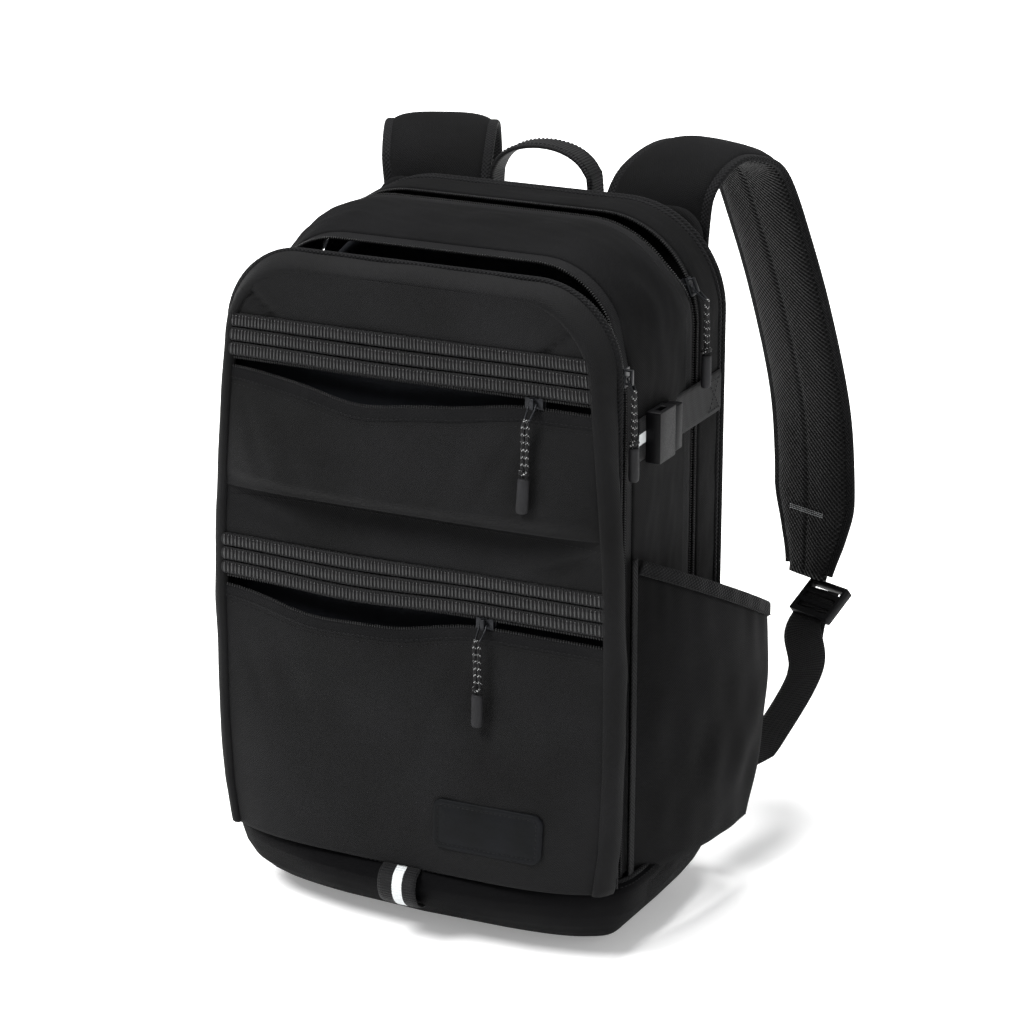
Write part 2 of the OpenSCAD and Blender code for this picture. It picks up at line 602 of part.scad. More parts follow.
base_boot();
base_board();
base_loop();
gusset_right();
gusset_left();
gusset_top();
divider();
laptop_wall_right();
laptop_wall_left();
laptop_wall_top();
back_panel();
back_pads();
strap_yoke();
strap_stub_right();
strap_stub_left();
main_zip_rear();
laptop_zip();
bottle_pocket_right();
bottle_pocket_left();
pocket_binding_right();
pocket_binding_left();
side_webbing_right();
side_webbing_left();
buckle_socket_right();
buckle_socket_left();
strap_wing_right();
strap_wing_left();
front_inner_wall();
front_rim();
upper_field();
upper_webbing();
upper_pocket_zip();
upper_pocket();
middle_field();
lower_webbing();
lower_pocket_zip();
lower_pocket();
patch();
main_zip_front();
upper_slider();
upper_pull();
lower_slider();
lower_pull();
main_slider_right();
main_pull_right();
main_slider_left();
main_pull_left();
laptop_slider_right();
laptop_pull_right();
laptop_slider_left();
laptop_pull_left();
buckle_plug_right();
buckle_plug_left();
haul_handle();
shoulder_strap_right();
shoulder_strap_left();
ladder_lock_right();
ladder_lock_left();
strap_webbing_right();
strap_webbing_left();
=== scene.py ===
# %% [markdown]
# # A black school backpack
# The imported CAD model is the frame: its sizes, bodies and joints stay as they are. This script adds
# what the eye reads: woven cloth, ribbed webbing, coil zips, cord pulls, padded straps, stitching.
# Lengths are written in millimetres and turned into metres where a mesh is made.

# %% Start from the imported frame
import json
import math

import bmesh
import bpy
import numpy as np
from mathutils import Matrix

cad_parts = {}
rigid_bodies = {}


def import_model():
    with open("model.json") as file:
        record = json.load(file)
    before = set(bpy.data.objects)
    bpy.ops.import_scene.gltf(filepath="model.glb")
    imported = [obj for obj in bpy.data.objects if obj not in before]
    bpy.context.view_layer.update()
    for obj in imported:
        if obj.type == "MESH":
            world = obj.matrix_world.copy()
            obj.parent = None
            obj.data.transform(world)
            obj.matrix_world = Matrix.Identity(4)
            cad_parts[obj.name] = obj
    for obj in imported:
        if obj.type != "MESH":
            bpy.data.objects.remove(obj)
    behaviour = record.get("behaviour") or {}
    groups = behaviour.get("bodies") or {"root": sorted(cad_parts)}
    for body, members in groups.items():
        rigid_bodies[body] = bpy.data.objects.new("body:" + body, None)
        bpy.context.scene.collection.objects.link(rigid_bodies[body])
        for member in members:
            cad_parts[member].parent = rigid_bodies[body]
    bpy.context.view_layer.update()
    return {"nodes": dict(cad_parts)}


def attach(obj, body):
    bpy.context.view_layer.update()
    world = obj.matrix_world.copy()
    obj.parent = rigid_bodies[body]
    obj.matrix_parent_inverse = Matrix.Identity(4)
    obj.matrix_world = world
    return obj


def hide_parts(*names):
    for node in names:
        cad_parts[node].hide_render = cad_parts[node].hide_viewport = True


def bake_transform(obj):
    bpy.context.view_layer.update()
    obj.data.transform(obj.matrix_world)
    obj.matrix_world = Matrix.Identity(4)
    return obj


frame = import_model()
MM = 0.001


# %% [markdown]
# The camera comes first: a long lens, a little above the bag and to the right of its front.

# %% Camera
AZ, EL, DIST = math.radians(26.5), math.radians(18.4), 2.01
TARGET = np.array([0.0, 0.040, 0.225])
cam_data = bpy.data.cameras.new("camera")
cam_data.lens, cam_data.sensor_width = 116, 36
camera = bpy.data.objects.new("camera", cam_data)
bpy.context.scene.collection.objects.link(camera)
camera.location = TARGET + DIST * np.array(
    [math.sin(AZ) * math.cos(EL), -math.cos(AZ) * math.cos(EL), math.sin(EL)])
camera.rotation_euler = (math.pi / 2 - EL, 0, AZ)
bpy.context.scene.camera = camera

# %% [markdown]
# ## Finishes
# Each finish is a small node tree. Cloth pieces carry a UV map in metres, so a thread has one real
# pitch on every piece. A weave is two crossed sine waves as a bump; a slow noise varies the dye and
# the gloss, because black polyester never reflects evenly; sheen gives the pale edge of a napped thread.

# %% Material helpers
def linear(hex_colour):
    out = []
    for k in (1, 3, 5):
        c = int(hex_colour[k:k + 2], 16) / 255
        out.append(c / 12.92 if c <= 0.04045 else ((c + 0.055) / 1.055) ** 2.4)
    return (*out, 1.0)


class Finish:
    """A material whose nodes are added by add()."""

    def __init__(self, name, colour, rough, metallic=0.0, sheen=0.0, coat=0.0, shine=0.5):
        self.m = bpy.data.materials.new(name)
        self.m.use_nodes = True
        self.t = self.m.node_tree
        self.b = self.t.nodes["Principled BSDF"]
        self.b.inputs["Base Color"].default_value = linear(colour)
        self.b.inputs["Roughness"].default_value = rough
        self.b.inputs["Metallic"].default_value = metallic
        self.b.inputs["Sheen Weight"].default_value = sheen
        self.b.inputs["Sheen Roughness"].default_value = 0.45
        self.b.inputs["Coat Weight"].default_value = coat
        self.b.inputs["Specular IOR Level"].default_value = shine
        self.m.diffuse_color = linear(colour)

    def add(self, kind, _out=0, _p=None, **links):
        """Add a node, set its properties, link or set its inputs, and return one of its outputs."""
        n = self.t.nodes.new(kind)
        for k, v in (_p or {}).items():
            setattr(n, k, v)
        for k, v in links.items():
            s = n.inputs[int(k[1:])] if k[0] == "i" and k[1:].isdigit() else n.inputs[k.replace("_", " ")]
            if isinstance(v, bpy.types.NodeSocket):
                self.t.links.new(v, s)
            else:
                s.default_value = v
        return n.outputs[_out]

    def math(self, op, a, b=0.0):
        return self.add("ShaderNodeMath", _p={"operation": op}, i0=a, i1=b)

    def uv(self):
        v = self.add("ShaderNodeUVMap")
        n = self.t.nodes.new("ShaderNodeSeparateXYZ")
        self.t.links.new(v, n.inputs[0])
        return v, n.outputs[0], n.outputs[1]

    def where(self):
        return self.add("ShaderNodeTexCoord", _out=3)

    def wave(self, x, pitch_mm, phase=0.0):
        turns = self.math("MULTIPLY", x, 2 * math.pi / (pitch_mm * MM))
        return self.math("SINE", self.math("ADD", turns, phase))

    def noise(self, vector, size_mm, detail=3.0):
        return self.add("ShaderNodeTexNoise", Vector=vector, Scale=1 / (size_mm * MM), Detail=detail)

    def span(self, x, low, high):
        """x from 0..1 stretched to low..high."""
        return self.add("ShaderNodeMapRange", i0=x, i1=0.3, i2=0.7, i3=low, i4=high)

    def tint(self, x, dark, light):
        colours = {"i6": linear(dark), "i7": linear(light)}
        c = self.add("ShaderNodeMix", _out=2, _p={"data_type": "RGBA"}, i0=x, **colours)
        self.t.links.new(c, self.b.inputs["Base Color"])
        return c

    def set(self, name, x):
        self.t.links.new(x, self.b.inputs[name])

    def bump(self, height, depth_mm, strength=1.0):
        n = self.add("ShaderNodeBump", Height=height, Distance=depth_mm * MM, Strength=strength)
        self.t.links.new(n, self.b.inputs["Normal"])
        return self.m


def weave(name, dark, light, pitch=0.8, depth=0.09, rough=0.74, sheen=0.02, mottle=70, shine=0.07):
    f = Finish(name, dark, rough, sheen=sheen, shine=shine)
    v, x, y = f.uv()
    crossed = f.math("MULTIPLY", f.wave(x, 2 * pitch), f.wave(y, 2 * pitch))
    slub = f.noise(v, 5, 4)
    cloud = f.noise(f.where(), mottle, 4)
    dye_and_shade = f.math("ADD", f.math("MULTIPLY", cloud, 0.75), f.math("MULTIPLY", slub, 0.25))
    f.tint(f.span(dye_and_shade, 0, 1), dark, light)
    f.set("Roughness", f.span(cloud, rough + 0.07, rough - 0.07))
    return f.bump(f.math("ADD", crossed, f.math("MULTIPLY", slub, 0.6)), depth)


def ribs(name, dark, light, pitch=1.7, depth=0.35, rough=0.62, stripe=None, turn=0.0):
    """Webbing: ribs across its length u, a fine wale across its width v, and perhaps a stripe along its
    middle: turn is the way round its section from one edge to the other."""
    f = Finish(name, dark, rough, sheen=0.02, shine=0.14)
    v, x, y = f.uv()
    rib = f.math("ABSOLUTE", f.wave(x, 2 * pitch))
    wale = f.math("ABSOLUTE", f.wave(y, 2.6))
    h = f.math("MULTIPLY", rib, f.math("ADD", f.math("MULTIPLY", wale, 0.5), 0.6))
    # rib tops are painted lighter and the grooves between ribs and wales darker: painted highlight and
    # painted shade, mixed with a noise in the yarn's own tone
    dye_and_shade = f.math("ADD", f.math("MULTIPLY", h, 0.6), f.math("MULTIPLY", f.noise(v, 9), 0.4))
    base = f.tint(f.span(dye_and_shade, 0, 1), dark, light)
    if stripe:
        off = f.math("ABSOLUTE", f.math("SUBTRACT", f.math("PINGPONG", y, turn * MM), turn / 2 * MM))
        on = f.math("LESS_THAN", off, stripe / 2 * MM)
        c = f.add("ShaderNodeMix", _out=2, _p={"data_type": "RGBA"}, i0=on, i6=base, i7=linear("#c9cccd"))
        f.set("Base Color", c)
    return f.bump(h, depth)


# %% [markdown]
# The front cloth is a shade lighter than the boot's smooth cloth, the bands catch the light on their ribs,
# whose tops are also painted lighter and grooves darker as painted highlight and painted shade, the pad cloth
# is an open knit with painted shade in its holes, and the patch is a blue-black moulded leatherette.

# %% Finishes
FRONT = weave("front_weave", "#0d0d0d", "#121213", pitch=0.75)
BODY = weave("body_weave", "#080808", "#0c0c0d", pitch=0.75, sheen=0.01, shine=0.045)
BOOT = weave("boot_cloth", "#050506", "#080809", pitch=0.5, depth=0.08, rough=0.66, sheen=0.0, mottle=60,
             shine=0.035)
LINING = weave("lining_cloth", "#17181b", "#202226", pitch=0.6, depth=0.06, rough=0.6)
BINDING = weave("binding_tape", "#09090a", "#101011", pitch=1.3, depth=0.25, rough=0.7)
TAPE = weave("zip_tape", "#070708", "#0e0e0f", pitch=0.9, depth=0.12, rough=0.72)
WEBBING = ribs("webbing", "#060607", "#0d0d0e")
STRIPED = ribs("webbing_striped", "#08080a", "#101011", stripe=6.5, turn=26.3)
BANDS = ribs("band_webbing", "#0a0a0b", "#121213", pitch=1.45, depth=0.2)


def knit():
    """Spacer knit: staggered round holes through a soft fuzz, the holes darkened as painted shade."""
    f = Finish("air_mesh", "#101011", 0.85, sheen=0.12, shine=0.08)
    v, x, y = f.uv()
    hole = f.math("MULTIPLY", f.wave(x, 3.4), f.wave(y, 3.4))
    hole_shade = f.math("GREATER_THAN", hole, 0.35)
    fuzz = f.noise(v, 0.9, 2)
    pale = f.math("ADD", f.math("MULTIPLY", fuzz, 0.9), 0.15)
    # the holes are painted darker: painted shade inside them
    f.tint(f.math("SUBTRACT", pale, f.math("MULTIPLY", hole_shade, 0.9)), "#040404", "#131314")
    return f.bump(f.math("SUBTRACT", f.math("MULTIPLY", fuzz, 0.5), hole), 0.5)


def plain(name, dark, light, rough, grain_mm, depth, metallic=0.0, coat=0.0, shine=0.25):
    f = Finish(name, dark, rough, metallic, coat=coat, shine=shine)
    p = f.where()
    g = f.noise(p, grain_mm, 3)
    f.tint(f.span(f.noise(p, 14, 4), 0, 1), dark, light)
    f.set("Roughness", f.span(g, rough + 0.08, rough - 0.08))
    return f.bump(g, depth)


def leatherette():
    f = Finish("patch_leather", "#08090b", 0.6, shine=0.08)
    p = f.where()
    cells = f.add("ShaderNodeTexVoronoi", _p={"feature": "SMOOTH_F1"}, Vector=p, Scale=1 / (1.3 * MM))
    f.tint(f.span(f.noise(p, 20, 4), 0, 1), "#070809", "#0c0d10")
    return f.bump(cells, 0.1)


def flecked():
    """Round braided cord: two crossed spirals of thread, with pale reflective flecks."""
    f = Finish("pull_cord", "#111112", 0.7, shine=0.2)
    v, x, y = f.uv()
    a = f.wave(f.math("ADD", x, y), 1.9)
    b = f.wave(f.math("SUBTRACT", x, y), 1.9)
    slant = f.wave(f.math("ADD", x, f.math("MULTIPLY", y, 0.7)), 4.2)
    fleck = f.math("MULTIPLY", f.math("GREATER_THAN", slant, 0.8), f.math("GREATER_THAN", b, 0.25))
    f.tint(f.math("MULTIPLY", fleck, 0.75), "#0f0f10", "#b9baba")
    return f.bump(f.math("MULTIPLY", a, b), 0.3)


MESH = knit()
PATCH = leatherette()
CORD = flecked()
RUBBER = plain("pull_rubber", "#151516", "#1e1e20", 0.62, 1.2, 0.04, shine=0.15)
METAL = plain("slider_enamel", "#17181a", "#222326", 0.36, 2.0, 0.02, metallic=0.6)
PLASTIC = plain("buckle_plastic", "#050506", "#08080a", 0.5, 0.8, 0.03, shine=0.1)
TEETH = plain("coil_nylon", "#0a0a0b", "#171717", 0.4, 1.5, 0.02)
THREAD = plain("thread", "#0d0d0e", "#151516", 0.7, 0.6, 0.03, shine=0.12)
RIB = plain("rib_thread", "#040405", "#151516", 0.34, 2.4, 0.03, shine=0.42)
PALE = plain("reflective_thread", "#8d9091", "#b4b6b7", 0.5, 1.0, 0.02)
BOARD = plain("board", "#1d1d1f", "#29292b", 0.7, 3.0, 0.05)
print(len(bpy.data.materials), "finishes")

# %% [markdown]
# ## Builders
# Sewn goods are made of few kinds of pieces: a panel (a closed skin over a grid of points), a sweep
# (one section carried along a line: piping, tape, webbing, cord) and a row of small repeats
# (stitches, teeth, ribs). Each builder writes UVs in metres along its own threads.

# %% Mesh builders
def mesh_object(name, verts, faces, uvs, material):
    """verts in mm; uvs holds one (u, v) in mm per vertex."""
    m = bpy.data.meshes.new(name)
    m.from_pydata([tuple(float(c) * MM for c in v) for v in verts], [], faces)
    layer = m.uv_layers.new(name="UVMap")
    index = np.empty(len(m.loops), np.int32)
    m.loops.foreach_get("vertex_index", index)
    layer.data.foreach_set("uv", (np.asarray(uvs, float)[index] * MM).astype(np.float32).ravel())
    m.validate()
    m.materials.append(material)
    m.shade_smooth()
    o = bpy.data.objects.new(name, m)
    bpy.context.scene.collection.objects.link(o)
    return outward(o)


def outward(o, weld=None):
    """Turn every face to look outwards, once points closer than weld (in metres) are joined."""
    b = bmesh.new()
    b.from_mesh(o.data)
    if weld:
        bmesh.ops.remove_doubles(b, verts=b.verts, dist=weld)
    bmesh.ops.recalc_face_normals(b, faces=b.faces)
    b.to_mesh(o.data)
    b.free()
    return o


def skin(name, front, back, material, uv=None):
    """A closed piece between two grids of points, each (rows, columns, 3)."""
    front, back = np.asarray(front, float), np.asarray(back, float)
    n, m = front.shape[:2]
    if uv is None:
        du = np.linalg.norm(np.diff(front, axis=1), axis=2).mean(0)
        dv = np.linalg.norm(np.diff(front, axis=0), axis=2).mean(1)
        u, v = np.concatenate([[0], np.cumsum(du)]), np.concatenate([[0], np.cumsum(dv)])
        uv = np.stack(np.meshgrid(u, v), axis=2)
    faces, k = [], n * m
    for i in range(n - 1):
        for j in range(m - 1):
            a, b, c, d = i * m + j, i * m + j + 1, (i + 1) * m + j + 1, (i + 1) * m + j
            faces += [(a, b, c, d), (k + d, k + c, k + b, k + a)]
    edge = [(0, j) for j in range(m)] + [(i, m - 1) for i in range(1, n)]
    edge += [(n - 1, j) for j in range(m - 2, -1, -1)] + [(i, 0) for i in range(n - 2, 0, -1)]
    ids = [i * m + j for i, j in edge]
    for a, b in zip(ids, ids[1:] + ids[:1]):
        faces.append((b, a, k + a, k + b))
    verts = np.concatenate([front.reshape(-1, 3), back.reshape(-1, 3)])
    flat = np.asarray(uv).reshape(-1, 2)
    return mesh_object(name, verts, faces, np.concatenate([flat, flat]), material)


def arc_lengths(points):
    d = np.linalg.norm(np.diff(points, axis=0), axis=1)
    return np.concatenate([[0], np.cumsum(d)])


def evenly(points, step):
    """The same line with points a step apart."""
    points = np.asarray(points, float)
    s = arc_lengths(points)
    t = np.linspace(0, s[-1], max(2, int(round(s[-1] / step)) + 1))
    return np.stack([np.interp(t, s, points[:, k]) for k in range(3)], axis=1)


def smooth_line(points, step=4.0):
    """A Catmull-Rom curve through the points, at even steps."""
    p = np.asarray(points, float)
    p = np.concatenate([[2 * p[0] - p[1]], p, [2 * p[-1] - p[-2]]])
    out = []
    for i in range(1, len(p) - 2):
        for t in np.linspace(0, 1, 16, endpoint=False):
            a, b, c, d = p[i - 1:i + 3]
            out.append(0.5 * (2 * b + (c - a) * t + (2 * a - 5 * b + 4 * c - d) * t * t
                              + (3 * b - a - 3 * c + d) * t ** 3))
    return evenly(np.array(out + [p[-2]]), step)


def unit(v):
    return v / np.linalg.norm(v, axis=1)[:, None]


def tube(name, p, uv, material, closed=False):
    """A skin round the sections p, (n, k + 1, 3), each of which ends on the point it starts from."""
    n, m = p.shape[:2]
    faces = []
    for i in range(n if closed else n - 1):
        j = (i + 1) % n
        faces += [(i * m + c, i * m + c + 1, j * m + c + 1, j * m + c) for c in range(m - 1)]
    if not closed:
        faces += [tuple(range(m - 1))[::-1], tuple((n - 1) * m + c for c in range(m - 1))]
    return outward(mesh_object(name, p.reshape(-1, 3), faces, uv.reshape(-1, 2), material), weld=1e-6)


def sweep(name, line, side, section, material, closed=False, scale=None):
    """Carry a closed section along a line. side is the direction of the section's first axis, one per
    point or one for all; the second axis is square to it and to the line. section is (k, 2) in mm."""
    line, section = np.asarray(line, float), np.asarray(section, float)
    n = len(line)
    t = unit(np.roll(line, -1, 0) - np.roll(line, 1, 0) if closed else np.gradient(line, axis=0))
    s = np.broadcast_to(np.asarray(side, float), (n, 3))
    s = unit(s - t * (s * t).sum(1)[:, None])
    up = np.cross(t, s)
    size = np.ones((n, 2)) if scale is None else np.asarray(scale, float).reshape(n, -1) * np.ones((1, 2))
    v = (line[:, None] + s[:, None] * section[None, :, :1] * size[:, None, :1]
         + up[:, None] * section[None, :, 1:] * size[:, None, 1:])
    # each section repeats its first point at its end, so that the UV doesn't fold back across one face
    v = np.concatenate([v, v[:, :1]], axis=1)
    around = arc_lengths(np.concatenate([section, section[:1]]))
    uv = np.stack(np.meshgrid(around, arc_lengths(line)), axis=2)[:, :, ::-1]
    return tube(name, v, uv, material, closed)


def circle(r, n=12):
    a = np.linspace(0, 2 * math.pi, n, endpoint=False)
    return np.stack([r * np.cos(a), r * np.sin(a)], axis=1)


def flat_section(w, t, n=10, edge=0.45):
    """A ribbon's section with soft edges: width w along the first axis, thickness t."""
    x = np.linspace(-1, 1, n)
    y = t / 2 * (1 - (1 - edge) * np.abs(x) ** 8)
    top = np.stack([x * w / 2, y], axis=1)
    return np.concatenate([top, top[::-1] * [1, -1]])


def jitter(shape, seed, size):
    """Smooth random heights on a grid, about 1 high, with waves about size cells long."""
    r = np.random.default_rng(seed)
    out = np.zeros(shape)
    yy, xx = np.mgrid[0:shape[0], 0:shape[1]]
    for k in range(7):
        a, f, p = r.uniform(0, math.pi), r.uniform(0.6, 1.8) / size, r.uniform(0, 6.3)
        out += np.sin(2 * math.pi * f * (xx * math.cos(a) + yy * math.sin(a)) + p) / 7
    return out * 1.6


def ease(t):
    t = np.clip(t, 0, 1)
    return t * t * (3 - 2 * t)


# %% [markdown]
# Repeats are Geometry Nodes: a line of points becomes a curve, the curve is resampled at the stitch or tooth
# pitch, one small solid is set on each point, turned to the line and to the surface, and realized. Each row
# sets its own pitch and sizes on its modifier, and keeps the result as a plain mesh.

# %% The repeat tree
def repeat_tree():
    t = bpy.data.node_groups.new("repeat_bead", "GeometryNodeTree")
    face = t.interface
    face.new_socket("Geometry", in_out="INPUT", socket_type="NodeSocketGeometry")
    for name, value in (("Pitch", 0.0025), ("Length", 0.002), ("Width", 0.0006), ("Height", 0.0005)):
        face.new_socket(name, in_out="INPUT", socket_type="NodeSocketFloat").default_value = value
    face.new_socket("Finish", in_out="INPUT", socket_type="NodeSocketMaterial")
    face.new_socket("Geometry", in_out="OUTPUT", socket_type="NodeSocketGeometry")
    n = {}

    def add(key, kind, **props):
        n[key] = t.nodes.new(kind)
        for k, v in props.items():
            setattr(n[key], k, v)

    add("in", "NodeGroupInput")
    add("curve", "GeometryNodeMeshToCurve")
    add("even", "GeometryNodeResampleCurve", mode="LENGTH")
    add("one", "GeometryNodeMeshUVSphere")
    for key, value in (("Segments", 8), ("Rings", 5), ("Radius", 0.5)):
        n["one"].inputs[key].default_value = value
    add("size", "ShaderNodeCombineXYZ")
    add("tangent", "GeometryNodeInputTangent")
    add("up", "GeometryNodeInputNamedAttribute", data_type="FLOAT_VECTOR")
    n["up"].inputs["Name"].default_value = "up"
    add("turn", "FunctionNodeAlignRotationToVector", axis="X")
    add("tip", "FunctionNodeAlignRotationToVector", axis="Z", pivot_axis="X")
    add("place", "GeometryNodeInstanceOnPoints")
    add("real", "GeometryNodeRealizeInstances")
    add("paint", "GeometryNodeSetMaterial")
    add("out", "NodeGroupOutput")
    for start, socket, end, into in (
            ("in", "Geometry", "curve", 0), ("curve", 0, "even", "Curve"), ("in", "Pitch", "even", "Length"),
            ("in", "Length", "size", 0), ("in", "Width", "size", 1), ("in", "Height", "size", 2),
            ("tangent", 0, "turn", "Vector"), ("up", 0, "tip", "Vector"), ("turn", 0, "tip", "Rotation"),
            ("even", 0, "place", "Points"), ("one", 0, "place", "Instance"), ("tip", 0, "place", "Rotation"),
            ("size", 0, "place", "Scale"), ("place", 0, "real", 0), ("real", 0, "paint", "Geometry"),
            ("in", "Finish", "paint", "Material"), ("paint", 0, "out", 0)):
        t.links.new(n[start].outputs[socket], n[end].inputs[into])
    return t


BEADS = repeat_tree()
BEAD_INPUT = {s.name: s.identifier for s in BEADS.interface.items_tree if s.in_out == "INPUT"}


def row(name, lines, ups, material, pitch, size):
    """Repeats along one or more lines (mm), each with an up direction per point or one for all."""
    verts, edges, up = [], [], []
    for line, u in zip(lines, ups):
        line = np.asarray(line, float)
        edges += [(len(verts) + i, len(verts) + i + 1) for i in range(len(line) - 1)]
        verts += [tuple(p * MM) for p in line]
        up.append(np.broadcast_to(np.asarray(u, float), (len(line), 3)))
    m = bpy.data.meshes.new(name)
    m.from_pydata(verts, edges, [])
    a = m.attributes.new("up", "FLOAT_VECTOR", "POINT")
    a.data.foreach_set("vector", np.concatenate(up).astype(np.float32).ravel())
    o = bpy.data.objects.new(name, m)
    bpy.context.scene.collection.objects.link(o)
    mod = o.modifiers.new("repeat", "NODES")
    mod.node_group = BEADS
    for key, value in zip(("Pitch", "Length", "Width", "Height"), (pitch, *size)):
        mod[BEAD_INPUT[key]] = value * MM
    mod[BEAD_INPUT["Finish"]] = material
    return made_plain(o, material)


def made_plain(o, material=None):
    """Replace an object's mesh by what its modifiers make, and remove them."""
    bpy.context.view_layer.update()
    done = o.evaluated_get(bpy.context.evaluated_depsgraph_get())
    m = bpy.data.meshes.new_from_object(done)
    o.modifiers.clear()
    o.data = m
    if material and not m.materials:
        m.materials.append(material)
    m.shade_smooth()
    return o


made = []


def pillow(o):
    """The padded front panel overhangs its zip: barrel shaped below, drawn in at the top."""
    n = len(o.data.vertices)
    co = np.empty(n * 3, np.float32)
    o.data.vertices.foreach_get("co", co)
    co = co.reshape(-1, 3).astype(float) / MM
    grow = np.interp(co[:, 2], [48, 75, 120, 190, 250, 310, 355, 385, 410],
                     [3, 7.5, 10, 10.5, 8.5, 3, -1.5, -5, -7])
    ahead = ease((-76.5 - co[:, 1]) / 9)
    co[:, 0] += grow * ahead * np.sign(co[:, 0]) * (np.abs(co[:, 0]) / 125) ** 2
    o.data.vertices.foreach_set("co", (co * MM).astype(np.float32).ravel())
    o.data.update()


def put(o, body, replaces=(), blend=None):
    """Seat a finished piece on its body and the CAD nodes it stands for; a piece given blend is fixed where
    it stands, on no body.
    """
    if body == "front_panel":
        pillow(o)
    if blend:
        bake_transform(o)
    else:
        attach(o, body)
    if replaces:
        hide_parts(*replaces)
    made.append(o)
    return o


def coil(name, lines, ups, body, wide, high, replaces=()):
    """A zip's row of nylon coil."""
    put(row(name, lines, ups, TEETH, 1.5, (0.95, wide, high)), body, replaces)


def stitches(name, lines, ups, body, pitch, size, blend=None):
    """Rows of thread: size is a stitch's length, width and height."""
    put(row(name, lines, ups, THREAD, pitch, size), body, blend=blend)


BOTH = (("right", 1), ("left", -1))
AHEAD = (0, -1, 0)
WEB_WIDE, WEB_THICK = 25, 1.7
WEB = flat_section(WEB_WIDE, WEB_THICK)
print("builders ready")

# %% [markdown]
# ## The front panel
# One soft board hinged at its foot. Its parts are cut as in the real bag: a rim, a top field, two
# pockets, a middle field under the fold, and two bands of ribbed webbing over the pocket zips. The
# pockets are unzipped, so their upper edges droop and stand forward.

# %% Sizes of the front
HALF, TOP, CORNER = 125.0, 406.0, 50.0
FACE, REAR, FOOT = -92.2, -74.2, 49.0
EDGE = 9.0
ZIPS = {"upper": dict(z=340, mid=-17, half=96, foot=264, out=8.5, body=17.0),
        "lower": dict(z=205, mid=-36, half=84, foot=50, out=8.0, body=13.0)}
DROOP = 9.0
FOLD = 264


def arch_line(w, z0, top, r, step=4.0):
    """Points (x, z) round an arch from its lower right corner over to its lower left."""
    a = np.radians(np.linspace(0, 90, 24))
    cx, cz = w - r, top - r
    right = np.stack([cx + r * np.cos(a), cz + r * np.sin(a)], axis=1)
    half = np.concatenate([[[w, z0]], right])
    line = np.concatenate([half, half[::-1] * [-1, 1]])
    return evenly(np.insert(line, 1, 0, axis=1), step)[:, [0, 2]]


def arch_out(line):
    """The outward direction (x, z) at each point of such a line."""
    t = np.gradient(line, axis=0)
    n = np.stack([t[:, 1], -t[:, 0]], axis=1)
    return unit(n)


def half_width(z, w=HALF, top=TOP, r=CORNER):
    z = np.asarray(z, float)
    return w - r + np.sqrt(np.clip(r * r - np.clip(z - (top - r), 0, r) ** 2, 0, None))


def lip(x, q):
    """1 at the middle of a pocket's mouth and 0 at its ends: cos squared."""
    t = (x - q["mid"]) / q["half"]
    return np.where(np.abs(t) < 1, np.cos(math.pi / 2 * np.clip(t, -1, 1)) ** 2, 0)


def side_fall(x):
    return 1 - np.clip(np.abs(x) / (HALF - EDGE), 0, 1) ** 5


def pocket_face(x, z, name):
    """y of a pocket's outside at (x, z)."""
    q = ZIPS[name]
    top = pocket_top(x, name)
    v = np.clip((z - q["foot"]) / (top - q["foot"]), 0, 1)
    lift = q["out"] * lip(x, q) * ease((v - 0.45) / 0.55)
    # the filled part is deepest low down, and turns under at the fold
    under = ease(v / 0.17) if name == "upper" else 1.0
    low = q["body"] * np.cos(math.pi / 2 * v ** 1.25) * (0.3 + 0.7 * under) * side_fall(x)
    creases = folds(x, z, name)
    # the hanging pull presses a shallow hollow into the cloth behind it
    pull_x = q["mid"] + q["half"] + 1
    creases = creases + 3.5 * np.exp(-((x - pull_x) / 13) ** 2 - ((z - q["z"] + 50) / 22) ** 2)
    held = side_fall(x) * np.sin(math.pi * v) ** 0.5
    return FACE - low * (1 - 0.25 * ease((v - 0.7) / 0.3)) - lift + creases * held


def folds(x, z, name):
    """Soft drag lines from the mouth's ends, and a slow unevenness."""
    q = ZIPS[name]
    out = 0
    for end, slope, s in ((q["mid"] + q["half"], 0.9, 1), (q["mid"] - q["half"], 0.75, -1)):
        d = (x - end) * s + (q["z"] - z) * slope * 0.55
        reach = np.exp(-((z - q["z"] + 38) / 34.0) ** 2)
        out = out + 1.5 * np.exp(-(d / 5.5) ** 2) * reach
        out = out + 0.9 * np.exp(-((d + 24) / 7.0) ** 2) * reach
    waves = 0.7 * np.sin(x / 31 + z / 47 + 1.3) * np.sin(z / 26 - x / 60)
    fine = 0.28 * np.sin(x / 9.5 + 2 * np.sin(z / 33)) * np.sin(z / 15 + x / 42)
    return out + waves + fine


def pocket_top(x, name):
    q = ZIPS[name]
    t = lip(x, q)
    wobble = 1.3 * np.sin(x / 13 + q["z"]) * t
    return np.where(t > 0, q["z"] - 4.6 - DROOP * t ** 0.8 + wobble, q["z"] - 4.6)


def crease(x, z, start, end, depth, width):
    """A sewn dart or a pinch: a groove along the line from start to end, points (x, z)."""
    (x0, z0), (x1, z1) = start, end
    l = math.hypot(x1 - x0, z1 - z0)
    t = ((x - x0) * (x1 - x0) + (z - z0) * (z1 - z0)) / (l * l)
    d = ((x - x0) * (z1 - z0) - (z - z0) * (x1 - x0)) / l
    fade = ease(t / 0.25 + 0.3) * ease((1.15 - t) / 0.5) * (t > -0.2) * (t < 1.15)
    return depth * np.exp(-(d / width) ** 2) * fade


def field_face(x, z, z0, z1, out):
    v = np.clip((z - z0) / (z1 - z0), 0, 1)
    soft = 0.5 * np.sin(x / 23 + z / 17) * np.sin(z / 29 + 0.7) + 0.2 * np.sin(x / 8 + z / 31)
    return FACE + (-out * np.sin(math.pi * v) ** 0.7 + soft * np.sin(math.pi * v)) * side_fall(x)


